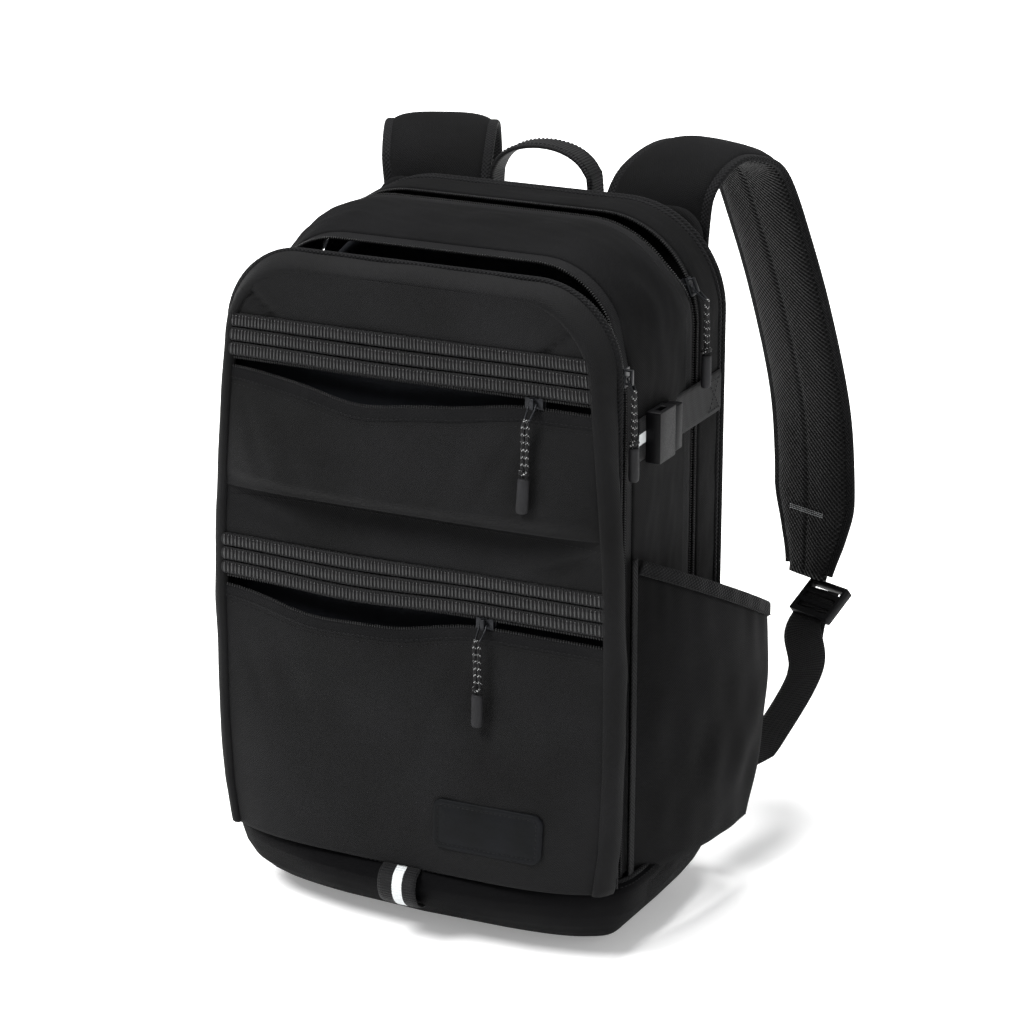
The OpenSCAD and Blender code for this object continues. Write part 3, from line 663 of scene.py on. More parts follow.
def cloth_between(name, xs, z0, z1, y_of, thick, material, rows=40):
    """A cloth panel between the heights z0(x) and z1(x), with its outside at y_of(x, z)."""
    x = np.broadcast_to(xs, (rows, len(xs)))
    v = np.linspace(0, 1, rows)[:, None]
    z = z0(x) * (1 - v) + z1(x) * v
    y = y_of(x, z)
    front = np.stack([x, y, z], axis=2)
    back = np.stack([x, y + thick, z], axis=2)
    uv = np.stack([x, z], axis=2)
    return skin(name, front, back, material, uv)


def flat(value):
    return lambda x: np.full(np.shape(x), float(value))


BAND_FOOT = 232


def middle_face(x, z):
    """The field between the lower band and the fold sinks back under the fold."""
    t = np.clip((z - BAND_FOOT) / 32, 0, 1)
    drag = 0.8 * np.sin((x - 1.3 * z) / 16) * np.sin(math.pi * np.clip((z - 217) / 50, 0, 1))
    pinch = crease(x, z, (119, 256), (76, 238), 5.0, 3.0) + crease(x, z, (-118, 256), (-66, 241), 2.6, 4.0)
    sunk = 11.0 * ease(t) + drag * ease((z - BAND_FOOT) / 8) + pinch
    return field_face(x, z, BAND_FOOT, 276, 3.0) + sunk * side_fall(x)


# %% Fields, pockets and rim
inner = HALF - EDGE + 1.5
xs = np.linspace(-inner, inner, 121)
upper, lower = ZIPS["upper"], ZIPS["lower"]

put(cloth_between("upper_pocket_cloth", xs, flat(FOLD), lambda x: pocket_top(x, "upper"),
                  lambda x, z: pocket_face(x, z, "upper"), 1.8, FRONT, 46),
    "front_panel", ["upper_pocket"])
put(cloth_between("lower_pocket_cloth", xs, flat(FOOT), lambda x: pocket_top(x, "lower"),
                  lambda x, z: pocket_face(x, z, "lower"), 1.8, FRONT, 70),
    "front_panel", ["lower_pocket"])
put(cloth_between("middle_field_cloth", xs, flat(lower["z"] + 12), flat(FOLD + 4),
                  middle_face, 1.8, FRONT, 30),
    "front_panel", ["middle_field"])

# the top field follows the arch: its rows close up towards the top as the arch narrows
a = np.linspace(0, math.pi / 2, 18)
zs = np.concatenate([np.linspace(upper["z"] + 12, 355, 5), 356 + (CORNER - EDGE + 1.5) * np.sin(a)])
u = np.linspace(-1, 1, 97)
w = half_width(zs, inner, 356 + CORNER - EDGE + 1.5, CORNER - EDGE + 1.5)
x, z = u[None] * w[:, None], np.broadcast_to(zs[:, None], (len(zs), len(u)))
y = field_face(x, z, 366, 414, 3.0)
for s in (-1, 1):
    dart = crease(x * s, z, (108, 384), (82, 366), 2.6, 2.2)
    y = y + dart - crease(x * s, z, (104, 389), (80, 371), 0.9, 3.0)
put(skin("top_field_cloth", np.stack([x, y, z], 2), np.stack([x, y + 1.8, z], 2), FRONT, np.stack([x, z], 2)),
    "front_panel", ["upper_field"])

# the fold: the upper pocket's floor, hidden in the shadow under it
floor = np.array([[[x, y, FOLD + 0.4] for x in xs] for y in (FACE + 12, FACE + 0.5)])
floor[1, :, 1] = pocket_face(xs, np.full_like(xs, FOLD + 0.1), "upper") + 0.9
put(skin("fold_floor", floor, floor + [0, 0, 1.5], FRONT), "front_panel")

rim_line = arch_line(HALF, FOOT, TOP, CORNER)
out2 = arch_out(rim_line)
profile = np.array([
    [EDGE + 1.8, FACE + 1.0], [EDGE + 0.6, FACE - 1.9], [7.6, FACE - 2.6], [5.0, FACE - 1.2],
    [2.6, FACE + 2.0], [0.6, FACE + 7], [0, FACE + 12], [0.4, REAR - 0.3], [2.6, REAR - 0.3],
    [3.0, FACE + 8], [5.5, FACE + 4], [EDGE + 1, FACE + 2]])


def ring(line, out, prof, ripple=0.0, seed=0):
    """A section (inset, y) carried round an arch line: points (n, k, 3)."""
    r = np.random.default_rng(seed)
    s = arc_lengths(line)
    wave = ripple * (np.sin(s / 17 + r.uniform(0, 6)) + 0.6 * np.sin(s / 7.3 + r.uniform(0, 6)))
    inset = prof[None, :, 0] - wave[:, None] * np.clip(1 - prof[None, :, 0] / 9, 0, 1)
    p = np.empty((len(line), prof.shape[0], 3))
    p[..., 0] = line[:, None, 0] - out[:, None, 0] * inset
    p[..., 2] = line[:, None, 1] - out[:, None, 1] * inset
    p[..., 1] = prof[None, :, 1]
    return p


rim = ring(rim_line, out2, profile[np.r_[0:len(profile), 0]], 0.35, 3)
uv = np.stack(np.meshgrid(arc_lengths(rim[len(rim) // 2]), arc_lengths(rim[:, 0])), axis=2)
put(tube("front_rim_cloth", rim, uv, FRONT), "front_panel", ["front_rim"])


def piping(name, line, out, y, r, body, inset=0.0):
    p = np.stack([line[:, 0] - out[:, 0] * inset, np.full(len(line), float(y)),
                  line[:, 1] - out[:, 1] * inset], axis=1)
    return put(sweep(name, p, (0, 1, 0), circle(r, 10), BINDING), body)


piping("front_piping", rim_line, out2, REAR - 3.2, 2.1, "front_panel", 0.2)

# the padded inner wall that the pockets' contents lie against
wall_z = np.concatenate([np.linspace(52, 355, 24), 356 + 47 * np.sin(np.linspace(0.1, math.pi / 2, 12))])
w = half_width(wall_z, 121.5, 403, 47)
x, z = np.linspace(-1, 1, 31)[None] * w[:, None], np.broadcast_to(wall_z[:, None], (len(wall_z), 31))
y = np.full_like(x, -78.1)
put(skin("front_lining", np.stack([x, y, z], 2), np.stack([x, y + 2.4, z], 2), LINING, np.stack([x, z], 2)),
    "front_panel", ["front_inner_wall"])

# %% [markdown]
# Each band is three rows of ribbed webbing sewn edge to edge over the zip. The ribs are real relief,
# because their pale edges catch the light. The lower band sags over the open pocket.

# %% Ribbed bands, pocket zips and their stitching
ROW_H, BAND_Z, RIB_PITCH = 26 / 3, 3.9, 2.24


def sag(x, name):
    return -3.6 * lip(x, lower) if name == "lower" else -0.8 * lip(x, upper)


def band_edges(name, k):
    """The lower and upper edges of a band's row k, each a height for every x."""
    q = ZIPS[name]
    lift = q["z"] + BAND_Z + k * ROW_H

    def low(x):
        return lift + sag(x, name) * (1 - k / 4)

    def high(x):
        return lift + ROW_H - 0.9 + sag(x, name) * (1 - (k + 1) / 4)
    return low, high


for name in ZIPS:
    lines, ups = [], []
    bx = np.linspace(-HALF + EDGE - 1, HALF - EDGE + 1, 121)
    for k in range(3):
        low, high = band_edges(name, k)

        def band_y(x, z, low=low, high=high, name=name):
            v = (z - low(x)) / (high(x) - low(x))
            lift = 1.5 * lip(x, ZIPS[name]) * (1.1 - k * 0.35)
            return FACE - 1.7 - 0.7 * np.sin(math.pi * np.clip(v, 0, 1)) ** 0.5 - lift

        band = cloth_between(f"{name}_band_{k + 1}", bx, low, high, band_y, 1.4, BANDS, 9)
        put(band, "front_panel", [f"{name}_webbing"] if k == 0 else ())
        # a rib is a long bead, set on a line much shorter than the pitch
        for x0 in np.arange(-114.6, 115, RIB_PITCH):
            z0 = float(low(x0) + high(x0)) / 2
            y0 = float(band_y(np.array(x0), np.array(z0))) - 0.05
            lines.append([(x0 - 0.05, y0, z0), (x0 + 0.05, y0, z0)])
            ups.append(AHEAD)
    ribs_row = row(f"{name}_band_ribs", lines, ups, RIB, 1.0, (1.15, ROW_H - 1.4, 1.4))
    put(ribs_row, "front_panel")
    q = ZIPS[name]
    # zip tape behind the band and the row of coil above the mouth
    tape = cloth_between(f"{name}_zip_tape", bx * 0.985, flat(q["z"] + 1.6), flat(q["z"] + 12.5),
                         lambda x, z: FACE + 0.6 + 0 * x, 0.8, TAPE, 4)
    put(tape, "front_panel", [f"{name}_pocket_zip"])
    over_z = q["z"] + 2.2 + 0.5 * sag(bx, name)
    over = np.stack([bx, np.full_like(bx, FACE + 0.7), over_z], 1)
    coil(f"{name}_coil_above", [over], [AHEAD], "front_panel", 2.6, 1.7)
    # the coil and tape that droop with the pocket's edge
    under = np.stack([bx, pocket_face(bx, pocket_top(bx, name), name) + 0.2, pocket_top(bx, name) + 1.3], 1)
    coil(f"{name}_coil_below", [under], [AHEAD], "front_panel", 2.4, 1.6)
    lip_tape = cloth_between(
        f"{name}_lip_tape", xs,
        lambda x, n=name: pocket_top(x, n) - 6.5,
        lambda x, n=name: pocket_top(x, n) + 0.7,
        lambda x, z, n=name: pocket_face(x, np.minimum(z, pocket_top(x, n)), n) - 0.45,
        1.1, TAPE, 6)
    put(lip_tape, "front_panel")
    seams = []
    for below, proud in ((5.2, 0.55), (9.2, 0.12)):
        z = pocket_top(xs, name) - below
        seams.append(np.stack([xs, pocket_face(xs, z, name) - proud, z], 1))
    stitches(f"{name}_lip_stitch", seams, [AHEAD] * 2, "front_panel", 3.0, (2.2, 0.55, 0.45))

# seams along the fold, the rim and the field edges
field_edge = arch_line(HALF - EDGE, FOOT + 3, TOP - EDGE, CORNER - EDGE)
rim_seam = ring(field_edge, arch_out(field_edge), np.array([[0, FACE - 0.3]]))[:, 0]
fold_z = np.full_like(xs, FOLD - 6)
fold_seam = np.stack([xs, middle_face(xs, fold_z) - 0.15, fold_z], 1)
stitches("front_seam_stitch", [rim_seam, fold_seam], [AHEAD] * 2, "front_panel", 3.0,
         (2.2, 0.55, 0.4))

# %% [markdown]
# The patch is a moulded leatherette with rounded corners, laid on the lower pocket and stitched round
# its border. It stays bare.

# %% Patch
PX, PZ, PW, PH, PR = 54.0, 81.5, 66.0, 31.0, 6.0


def rounded(w, h, r, n=8, cx=0.0, cz=0.0):
    """Points (x, z) round a rounded rectangle."""
    out = []
    for sx, sz, a0 in ((1, 1, 0), (-1, 1, 90), (-1, -1, 180), (1, -1, 270)):
        for a in np.radians(np.linspace(a0, a0 + 90, n)):
            out.append((cx + sx * (w / 2 - r) + r * math.cos(a), cz + sz * (h / 2 - r) + r * math.sin(a)))
    return np.array(out)


def on_lower(x, z, off):
    return pocket_face(np.asarray(x, float), np.asarray(z, float), "lower") - off


rings = []
for inset, off in ((0.0, 0.2), (0.0, 1.5), (0.9, 2.1), (2.6, 2.1), (3.4, 1.75), (4.4, 2.05), (9, 2.15),
                   (13, 2.2)):
    p = rounded(PW - 2 * inset, PH - 2 * inset, max(PR - inset, 1.0), cx=PX, cz=PZ)
    rings.append(np.stack([p[:, 0], on_lower(p[:, 0], p[:, 1], off), p[:, 1]], 1))
k = len(rings[0])
faces = [(i * k + c, i * k + (c + 1) % k, (i + 1) * k + (c + 1) % k, (i + 1) * k + c)
         for i in range(len(rings) - 1) for c in range(k)]
faces += [tuple(range(k)), tuple((len(rings) - 1) * k + c for c in range(k))[::-1]]
verts = np.concatenate(rings)
put(mesh_object("patch_leather", verts, faces, verts[:, [0, 2]], PATCH), "front_panel",
    ["patch"])
border = rings[4][np.r_[0:k, 0]]
stitches("patch_stitch", [border + [0, -0.15, 0]], [AHEAD], "front_panel", 2.8,
         (2.1, 0.6, 0.5))
print("front panel:", len(made), "pieces")

# %% [markdown]
# ## The main body
# The gusset is one long strip bent round an arch; it swells a little between its seams, and its top
# opens at the front zip and at the laptop zip. The same arch carries both zips, the laptop section
# and the back panel.

# %% Gusset, laptop section and back panel
BODY_TOP, BODY_R, LOW = 422.0, 62.0, 44.0
body_line = arch_line(HALF, LOW, BODY_TOP, BODY_R, 4.0)
body_out = arch_out(body_line)
body_s = arc_lengths(body_line)
BODY_UP = np.insert(body_out, 1, 0, axis=1)
MIDDLE = body_s[-1] / 2


def opened(s, half_length):
    """1 over the open part of a zip, easing to 0 at its sliders."""
    return ease((half_length - np.abs(s - MIDDLE)) / 34.0)


main_open = opened(body_s, MIDDLE - (355 - LOW) - 2)
laptop_open = opened(body_s, 148)
MAIN_GAPE, LAPTOP_GAPE = 11.0, 10.0
G_FRONT = -57.8 + MAIN_GAPE * main_open
G_BACK = 14.8 - LAPTOP_GAPE * laptop_open
# the top of the bag slopes down towards its front, as far as the front panel is lower than the back
front_slope = ease((body_line[:, 1] - 340) / 50)


def body_points(y, off):
    """Points off mm outside the arch at depth y (one value, or one per point of the line)."""
    y = np.broadcast_to(np.asarray(y, float), (len(body_line),))
    drop = 11.0 * front_slope * ease((8 - y) / 72)
    off = np.broadcast_to(np.asarray(off, float), (len(body_line),)) - drop
    return np.stack([body_line[:, 0] + body_out[:, 0] * off, y, body_line[:, 1] + body_out[:, 1] * off],
                    axis=1)


SEWN_IN = 0.3


def strip(name, y0, y1, bulge, thick, material, columns=21, seed=1, wrinkle=0.8):
    """A strip of the bag's wall between the depths y0 and y1 (per point), swelling by bulge."""
    v = np.linspace(0, 1, columns)
    grid = (len(body_line), columns)
    rough = jitter(grid, seed, 16) * wrinkle + jitter(grid, seed + 9, 6) * wrinkle * 0.35
    outer = np.empty((*grid, 3))
    inner_ = np.empty_like(outer)
    for j, t in enumerate(v):
        swell = np.sin(math.pi * t) ** 0.7
        side = bulge * swell * (0.55 + 0.45 * np.sin(np.pi * body_s / body_s[-1]) ** 2)
        off = side + rough[:, j] * swell - SEWN_IN
        y = y0 * (1 - t) + y1 * t
        outer[:, j] = body_points(y, off)
        inner_[:, j] = body_points(y, off - thick)
    uv = np.stack(np.meshgrid(v * float(np.mean(y1 - y0)), body_s), axis=2)
    return skin(name, outer, inner_, material, uv)


put(strip("gusset_cloth", G_FRONT, G_BACK, 3.2, 2.0, BODY, 31, 4, 0.9), "bag",
    ["gusset_right", "gusset_left", "gusset_top"])
put(strip("laptop_wall_cloth", 34.0, 62.5, 1.4, 2.0, BODY, 15, 7, 0.45), "bag",
    ["laptop_wall_right", "laptop_wall_left", "laptop_wall_top"])


def arch_slab(name, y0, y1, w, z0, top, r, crown, material, n=41, seed=0, wrinkle=0.0):
    """A soft board with an arched outline, its two faces crowned by crown = (front, back)."""
    a = np.linspace(0, math.pi / 2, 14)
    z = np.concatenate([np.linspace(z0, top - r, 30)[:-1], top - r + r * np.sin(a)])
    x = np.linspace(-1, 1, n)[None] * half_width(z, w, top, r)[:, None]
    z = np.broadcast_to(z[:, None], x.shape)
    edge = np.minimum(np.minimum(half_width(z[:, 0], w, top, r)[:, None] - np.abs(x), top - z), z - z0)
    e = np.clip(edge / 9, 0, 1)
    round_ = np.sqrt(1 - (1 - e) ** 2)
    rough = jitter(x.shape, seed, 12) * wrinkle * round_
    mid = (y0 + y1) / 2
    f = mid + (y0 - mid - crown[0] + rough) * round_
    b = mid + (y1 - mid + crown[1] + rough) * round_
    uv = np.stack([x, z], 2)
    return skin(name, np.stack([x, f, z], 2), np.stack([x, b, z], 2), material, uv)


put(arch_slab("divider_foam", 17.8, 22.8, 121, 14, 401, 58, (0.5, 0.5), LINING, seed=2, wrinkle=0.3), "bag",
    ["divider"])
put(arch_slab("back_panel_cloth", 61.5, 71.8, 124.6, 44, 422, 62, (0, 0.6), BODY, seed=5, wrinkle=0.4), "bag",
    ["back_panel"])
yoke = arch_slab("yoke_cloth", 71.0, 75.6, 109, 376, 418, 18, (0, 0.3), BODY, seed=6, wrinkle=0.2)
put(yoke, "bag", ["strap_yoke"])

# %% [markdown]
# Piping cords cover the seams where the gusset meets the boards. A cord is a plain round sweep, and
# its cloth is the binding tape cut on the bias.

# %% Piping of the body
for name, y, off, r in (("back_piping", 69.0, -1.2, 2.2), ("laptop_piping", 61.2, -0.1, 1.6)):
    put(sweep(name, body_points(y, off), (0, 1, 0), circle(r, 10), BINDING), "bag")

# %% Zips round the arch
FRONT_TEETH = arch_line(HALF - 0.6, 52, TOP - 0.6, CORNER, 3.0)
FO = arch_out(FRONT_TEETH)
p = np.stack([FRONT_TEETH[:, 0], np.full(len(FRONT_TEETH), -73.1), FRONT_TEETH[:, 1]], 1)
coil("main_coil_front", [p], [np.insert(FO, 1, 0, axis=1)], "front_panel", 2.2, 2.0, ["main_zip_front"])


def front_tape_edge(off):
    """The front tape runs from inside the rim to the coil, at a height off its line."""
    depths = np.linspace(REAR - 2.0, -72.6, 4)
    return np.stack([np.stack([FRONT_TEETH[:, 0] + FO[:, 0] * off, np.full(len(FO), y),
                               FRONT_TEETH[:, 1] + FO[:, 1] * off], 1)
                     for y in depths], axis=1)


put(skin("main_tape_front", front_tape_edge(-0.4), front_tape_edge(-1.2), TAPE), "front_panel")


def band_round(name, y0, y1, off, thick, material, columns=5, keep=None):
    """A flat tape round the arch between two depths, each per point."""
    v = np.linspace(0, 1, columns)
    outer = np.stack([body_points(y0 * (1 - t) + y1 * t, off) for t in v], axis=1)
    inner_ = np.stack([body_points(y0 * (1 - t) + y1 * t, off - thick) for t in v], axis=1)
    if keep is not None:
        outer, inner_ = outer[keep], inner_[keep]
    return skin(name, outer, inner_, material)


above = body_line[:, 1] > 51
REAR_TEETH = -67.9 + MAIN_GAPE * main_open
put(band_round("main_tape_rear", REAR_TEETH + 0.8, G_FRONT + 2.5, -0.9, 0.8, TAPE, keep=above), "bag",
    ["main_zip_rear"])
p = body_points(REAR_TEETH, -1.0)[above]
coil("main_coil_rear", [p], [BODY_UP[above]], "bag", 2.2, 2.0)

zipped = body_line[:, 1] > 138
LAP_FRONT = 24.9 - LAPTOP_GAPE * laptop_open
put(band_round("laptop_tape_front", G_BACK - 2.5, LAP_FRONT - 0.8, -0.9, 0.8, TAPE, keep=zipped), "bag",
    ["laptop_zip"])
put(band_round("laptop_tape_rear", 30.9, 36.5, -0.9, 0.8, TAPE, keep=zipped), "bag")
lines = [body_points(LAP_FRONT, -1.0)[zipped], body_points(30.1, -1.0)[zipped]]
coil("laptop_coils", lines, [BODY_UP[zipped]] * 2, "bag", 2.2, 2.0)
# below its stops the laptop seam is a plain sewn joint
for name, y0, y1, off in (("laptop_seam_front", 14.0, 28.0, -0.8), ("laptop_seam_rear", 27.5, 35.0, -0.7)):
    for end, s in (("", 1), ("_left", -1)):
        sewn = ~zipped & (body_line[:, 0] * s > 0)
        put(band_round(name + end, y0, y1, off, 0.9, BODY, keep=sewn), "bag")
seams = [body_points(G_FRONT + 3.6, -0.05), body_points(G_BACK - 3.6, -0.05), body_points(37.6, 0.1)]
stitches("body_seam_stitch", seams, [BODY_UP] * 3, "bag", 3.2, (2.3, 0.55, 0.4))
print("body:", len(made), "pieces")

# %% [markdown]
# ## The boot
# A tray of smooth padded cloth that the bag stands in: its lower edge is rolled over foam, its upper
# edge is sewn to the body, and it swells forward at the front. A loft of one rounded outline makes it.

# %% Boot
BOOT_HALF, BOOT_FRONT, BOOT_REAR, BOOT_POINTS = 137, -91, 72.0, 120


def boot_outline(inset, front):
    """Points (x, y) of the boot seen from above; front is how far its front swells at the middle."""
    q = np.linspace(0, 2 * math.pi, BOOT_POINTS, endpoint=False)
    hx, y0, y1 = BOOT_HALF - inset, BOOT_FRONT + inset, BOOT_REAR - inset
    cy, hy = (y0 + y1) / 2, (y1 - y0) / 2
    c, s = np.cos(q), np.sin(q)
    x = hx * np.sign(c) * np.abs(c) ** 0.26
    y = cy + hy * np.sign(s) * np.abs(s) ** 0.26
    swell = front * np.clip(1 - (x / (hx - 6)) ** 2, 0, 1) * (s < 0) * np.clip(np.abs(s) * 1.2, 0, 1) ** 3
    return np.stack([x, y - swell], 1)


levels = [(46, 0.0, 0), (36, 0.9, 2), (29, 3.5, 5), (22, 8.0, 9), (15.5, 14.5, 13), (10, 22, 17),
          (6.4, 30, 19.5), (4.4, 38, 21), (3.8, 44, 20.5), (5.0, 47.5, 18.5), (8.5, 49.2, 15.0)]
outer_rings, inner_rings = [], []
for i, (inset, z, front) in enumerate(levels):
    o = boot_outline(inset, front)
    s = np.arange(len(o))
    wrinkle = 0.55 * np.sin(s / 3.1 + i) * np.sin(i * 0.7) + 0.4 * np.sin(s / 7.7 + 2.1 * i)
    d = o - o.mean(0)
    o = o + unit(d) * wrinkle[:, None] * (0 < i < len(levels) - 2)
    outer_rings.append(np.column_stack([o, np.full(len(o), z)]))
    inside_z = max(z - (0.6 if i > 7 else 0), 4.6 + 0.4 * i)
    inner_rings.append(np.column_stack([boot_outline(inset + 4.2, front), np.full(len(o), inside_z)]))


def loft(name, rings_, material):
    """A solid through a stack of outlines with as many points each."""
    n, k = len(rings_), len(rings_[0])
    faces = [(i * k + c, i * k + (c + 1) % k, (i + 1) * k + (c + 1) % k, (i + 1) * k + c)
             for i in range(n - 1) for c in range(k)]
    faces.append(tuple(range(k))[::-1])
    faces.append(tuple((n - 1) * k + c for c in range(k)))
    uv = np.stack(np.meshgrid(arc_lengths(rings_[n // 2]), arc_lengths(np.array(rings_)[:, 0])), 2)
    return mesh_object(name, np.concatenate(rings_), faces, uv.reshape(-1, 2), material)


put(loft("boot_cloth", outer_rings + inner_rings[::-1], BOOT), "bag", ["base_boot"])
seam = outer_rings[9][np.r_[0:BOOT_POINTS, 0]] + [0, 0, 0.2]
away = np.column_stack([unit(seam[:, :2] - [0, -10]), np.full(len(seam), 0.6)])
stitches("boot_seam_stitch", [seam], [away], "bag", 3.2, (2.3, 0.6, 0.5))
put(sweep("boot_piping", outer_rings[10] + [0, 0, 0.2], (0, 0, 1), circle(1.5, 8), BINDING, closed=True),
    "bag")
board = [np.column_stack([boot_outline(inset, 0), np.full(BOOT_POINTS, z)])
         for inset, z in ((49, 9.2), (47.5, 9.8), (47.5, 12.4), (49, 13.0))]
put(loft("base_board_sheet", board, BOARD), "bag", ["base_board"])

# %% [markdown]
# ## The sides
# A bottle pocket is a wall of cloth gathered into a bound elastic edge, so its cloth is fullest half
# way up and puckers under the binding. The compression strap crosses the side with its clip.

# %% Bottle pockets
POCKET_FRONT, POCKET_REAR, GATHERS = -57.3, 75.5, 11


def pocket_plan(out):
    """Points (x, y) of the pocket's wall seen from above, standing out by out at its fullest."""
    y0, y1 = POCKET_FRONT, POCKET_REAR
    return [(124.2, y0), (125 + 0.45 * out, y0 + 30), (125 + 0.85 * out, y0 + 70), (125 + out, y0 + 104),
            (125 + 0.96 * out, y1 - 8), (125 + 0.62 * out, y1 - 1.5), (124.6, y1 - 1)]


def edge_height(y):
    return 246 - 66 * (y - POCKET_FRONT) / 132.8


for side, s in BOTH:
    full_out = 34 if s > 0 else 20
    n, m = 90, 46
    plan = smooth_line([(*p, 0) for p in pocket_plan(full_out)], 2.0)
    plan = np.stack([np.interp(np.linspace(0, arc_lengths(plan)[-1], n), arc_lengths(plan),
                               plan[:, k]) for k in (0, 1)], 1)
    normal = unit(np.stack([np.gradient(plan[:, 1]), -np.gradient(plan[:, 0])], 1))
    v = np.linspace(0, 1, m)
    rough = jitter((m, n), 20 + (s > 0), 17) * 1.4
    outer, inner_ = np.empty((m, n, 3)), np.empty((m, n, 3))
    t = np.linspace(0, 1, n)
    ends = np.sin(math.pi * t) ** 0.35
    for i, h in enumerate(v):
        top = edge_height(plan[:, 1]) - 9
        z = 45 + (top - 45) * h
        gather = np.sin(t * 2 * math.pi * GATHERS + 5 * np.sin(t * 7)) * (0.4 + 0.6 * np.sin(t * 13) ** 2)
        pucker = 0.45 * gather * ease((h - 0.72) / 0.28)
        body = (3.0 * math.sin(math.pi * h) - 0.42 * full_out * (1 - h) ** 2 * (0.4 + 0.6 * t)) * ends
        o = (body + (pucker + rough[i] * math.sin(math.pi * min(h + 0.1, 1))) * ends)[:, None]
        p = plan + normal * o
        q = plan + normal * (o - 1.8)
        outer[i] = np.column_stack([p, z])
        inner_[i] = np.column_stack([q, z])
    flip = np.array([s, 1, 1])
    put(skin(f"bottle_pocket_cloth_{side}", outer * flip, inner_ * flip, BODY), "bag",
        [f"bottle_pocket_{side}"])
    gathered = 0.4 + 0.25 * np.sin(t * 2 * math.pi * GATHERS) * ends
    rim = np.column_stack([plan + normal * gathered[:, None], edge_height(plan[:, 1]) - 5.2])[3:-1]
    bound = flat_section(8.5, 3.4, 10, 0.3)
    put(sweep(f"pocket_binding_cloth_{side}", rim * flip, (0, 0, 1), bound, BINDING), "bag",
        [f"pocket_binding_{side}"])
    off = np.column_stack([normal[3:-1], np.zeros(len(rim))])
    stitches(f"pocket_binding_stitch_{side}", [(rim + off * 1.75 - [0, 0, 3.6]) * flip], [off * flip],
             "bag", 2.6, (1.9, 0.6, 0.5))
    # the seam tape that joins the pocket's front edge to the wall
    line = smooth_line([(127.0, -59.5, 50), (127.6, -59.5, 140), (127.4, -59.5, 245)], 5.0)
    put(sweep(f"pocket_seam_tape_{side}", line * flip, (0, 1, 0), flat_section(7, 1.2, 8), BINDING), "bag")

# %% Compression straps
STRAP_Z = 314
for side, s in BOTH:
    flip = np.array([s, 1, 1])
    for part, y0, y1 in (("front", -56.8, -36), ("rear", -14, 60)):
        line = [(126.9, y0, STRAP_Z), (126.6, y0 + 6, STRAP_Z), (126.6, y1 - 6, STRAP_Z),
                (126.9, y1, STRAP_Z)]
        cloth = STRIPED if part == "front" else WEBBING
        o = sweep(f"side_strap_{part}_{side}", smooth_line(line, 3.0) * flip, (0, 0, 1), WEB, cloth)
        put(o, "bag", [f"side_webbing_{side}"] if part == "front" else ())
    box_stitch = [np.array([(128.1, 42, STRAP_Z + z0), (128.1, 56, STRAP_Z + z1)]) * flip
                  for z0, z1 in ((-9, -9), (9, 9), (-9, 9), (9, -9))]
    stitches(f"side_strap_stitch_{side}", box_stitch, [(s, 0, 0)] * 4, "bag", 2.6, (2.0, 0.7, 0.5))


def rounded_copy(node, body, radius, material):
    """Moulded and cast parts have no sharp edge: a copy of the CAD part with its edges rounded."""
    src = frame["nodes"][node]
    m = src.data.copy()
    m.transform(src.matrix_world)
    m.materials.clear()
    m.materials.append(material)
    o = bpy.data.objects.new(f"{node}_soft", m)
    bpy.context.scene.collection.objects.link(o)
    w = o.modifiers.new("weld", "WELD")
    w.merge_threshold = 0.00001
    b = o.modifiers.new("round", "BEVEL")
    b.width, b.segments, b.limit_method, b.angle_limit = radius * MM, 2, "ANGLE", math.radians(35)
    b.use_clamp_overlap = True
    made_plain(o, material)
    outward(o)
    return put(o, body, [node])


for side, s in BOTH:
    rounded_copy(f"buckle_socket_{side}", "bag", 1.5, PLASTIC)
    rounded_copy(f"buckle_plug_{side}", f"buckle_plug_{side}", 0.8, PLASTIC)
    rounded_copy(f"ladder_lock_{side}", f"shoulder_strap_{side}", 1.0, PLASTIC)
for node in ("upper_slider", "lower_slider", "main_slider_right", "main_slider_left",
             "laptop_slider_right", "laptop_slider_left"):
    rounded_copy(node, node, 0.35, METAL)

# the loop at the middle of the boot, with a reflective line woven down it
line = smooth_line([(0, -105.0, 48.3), (0, -110.4, 45), (0, -112.6, 38), (0, -110.6, 30), (0, -105.0, 24.5),
                    (0, -99.5, 23.4)], 2.0)
put(sweep("base_loop_webbing", line, (1, 0, 0), flat_section(25, 1.9), STRIPED), "bag",
    ["base_loop"])

# %% [markdown]
# ## Carrying parts
# The back pads are foam under spacer mesh. A short cloth simulation under pressure gives them their drawn-in
# edges and small puckers, which a modelled bulge lacks. Each strap is one padded piece that runs from its
# seam over the crest and down to its ladder lock; it is fixed where it is built, on no body.

# %% Back pads
# where a pad's foam starts (mm), how deep its sewn edge reaches and how far its cloth may move (m)
PAD_REST, SEWN_Y, MOST_MOVE = 72.2, 0.0752, 0.006


def pad(name, cx, w, z0, top, r, seed, t=12.0):
    o = arch_slab(name, PAD_REST, PAD_REST + t * 0.72, w, z0, top, r, (0, 0), MESH, n=31, seed=seed)
    for v in o.data.vertices:
        v.co.x += cx * MM
    return o


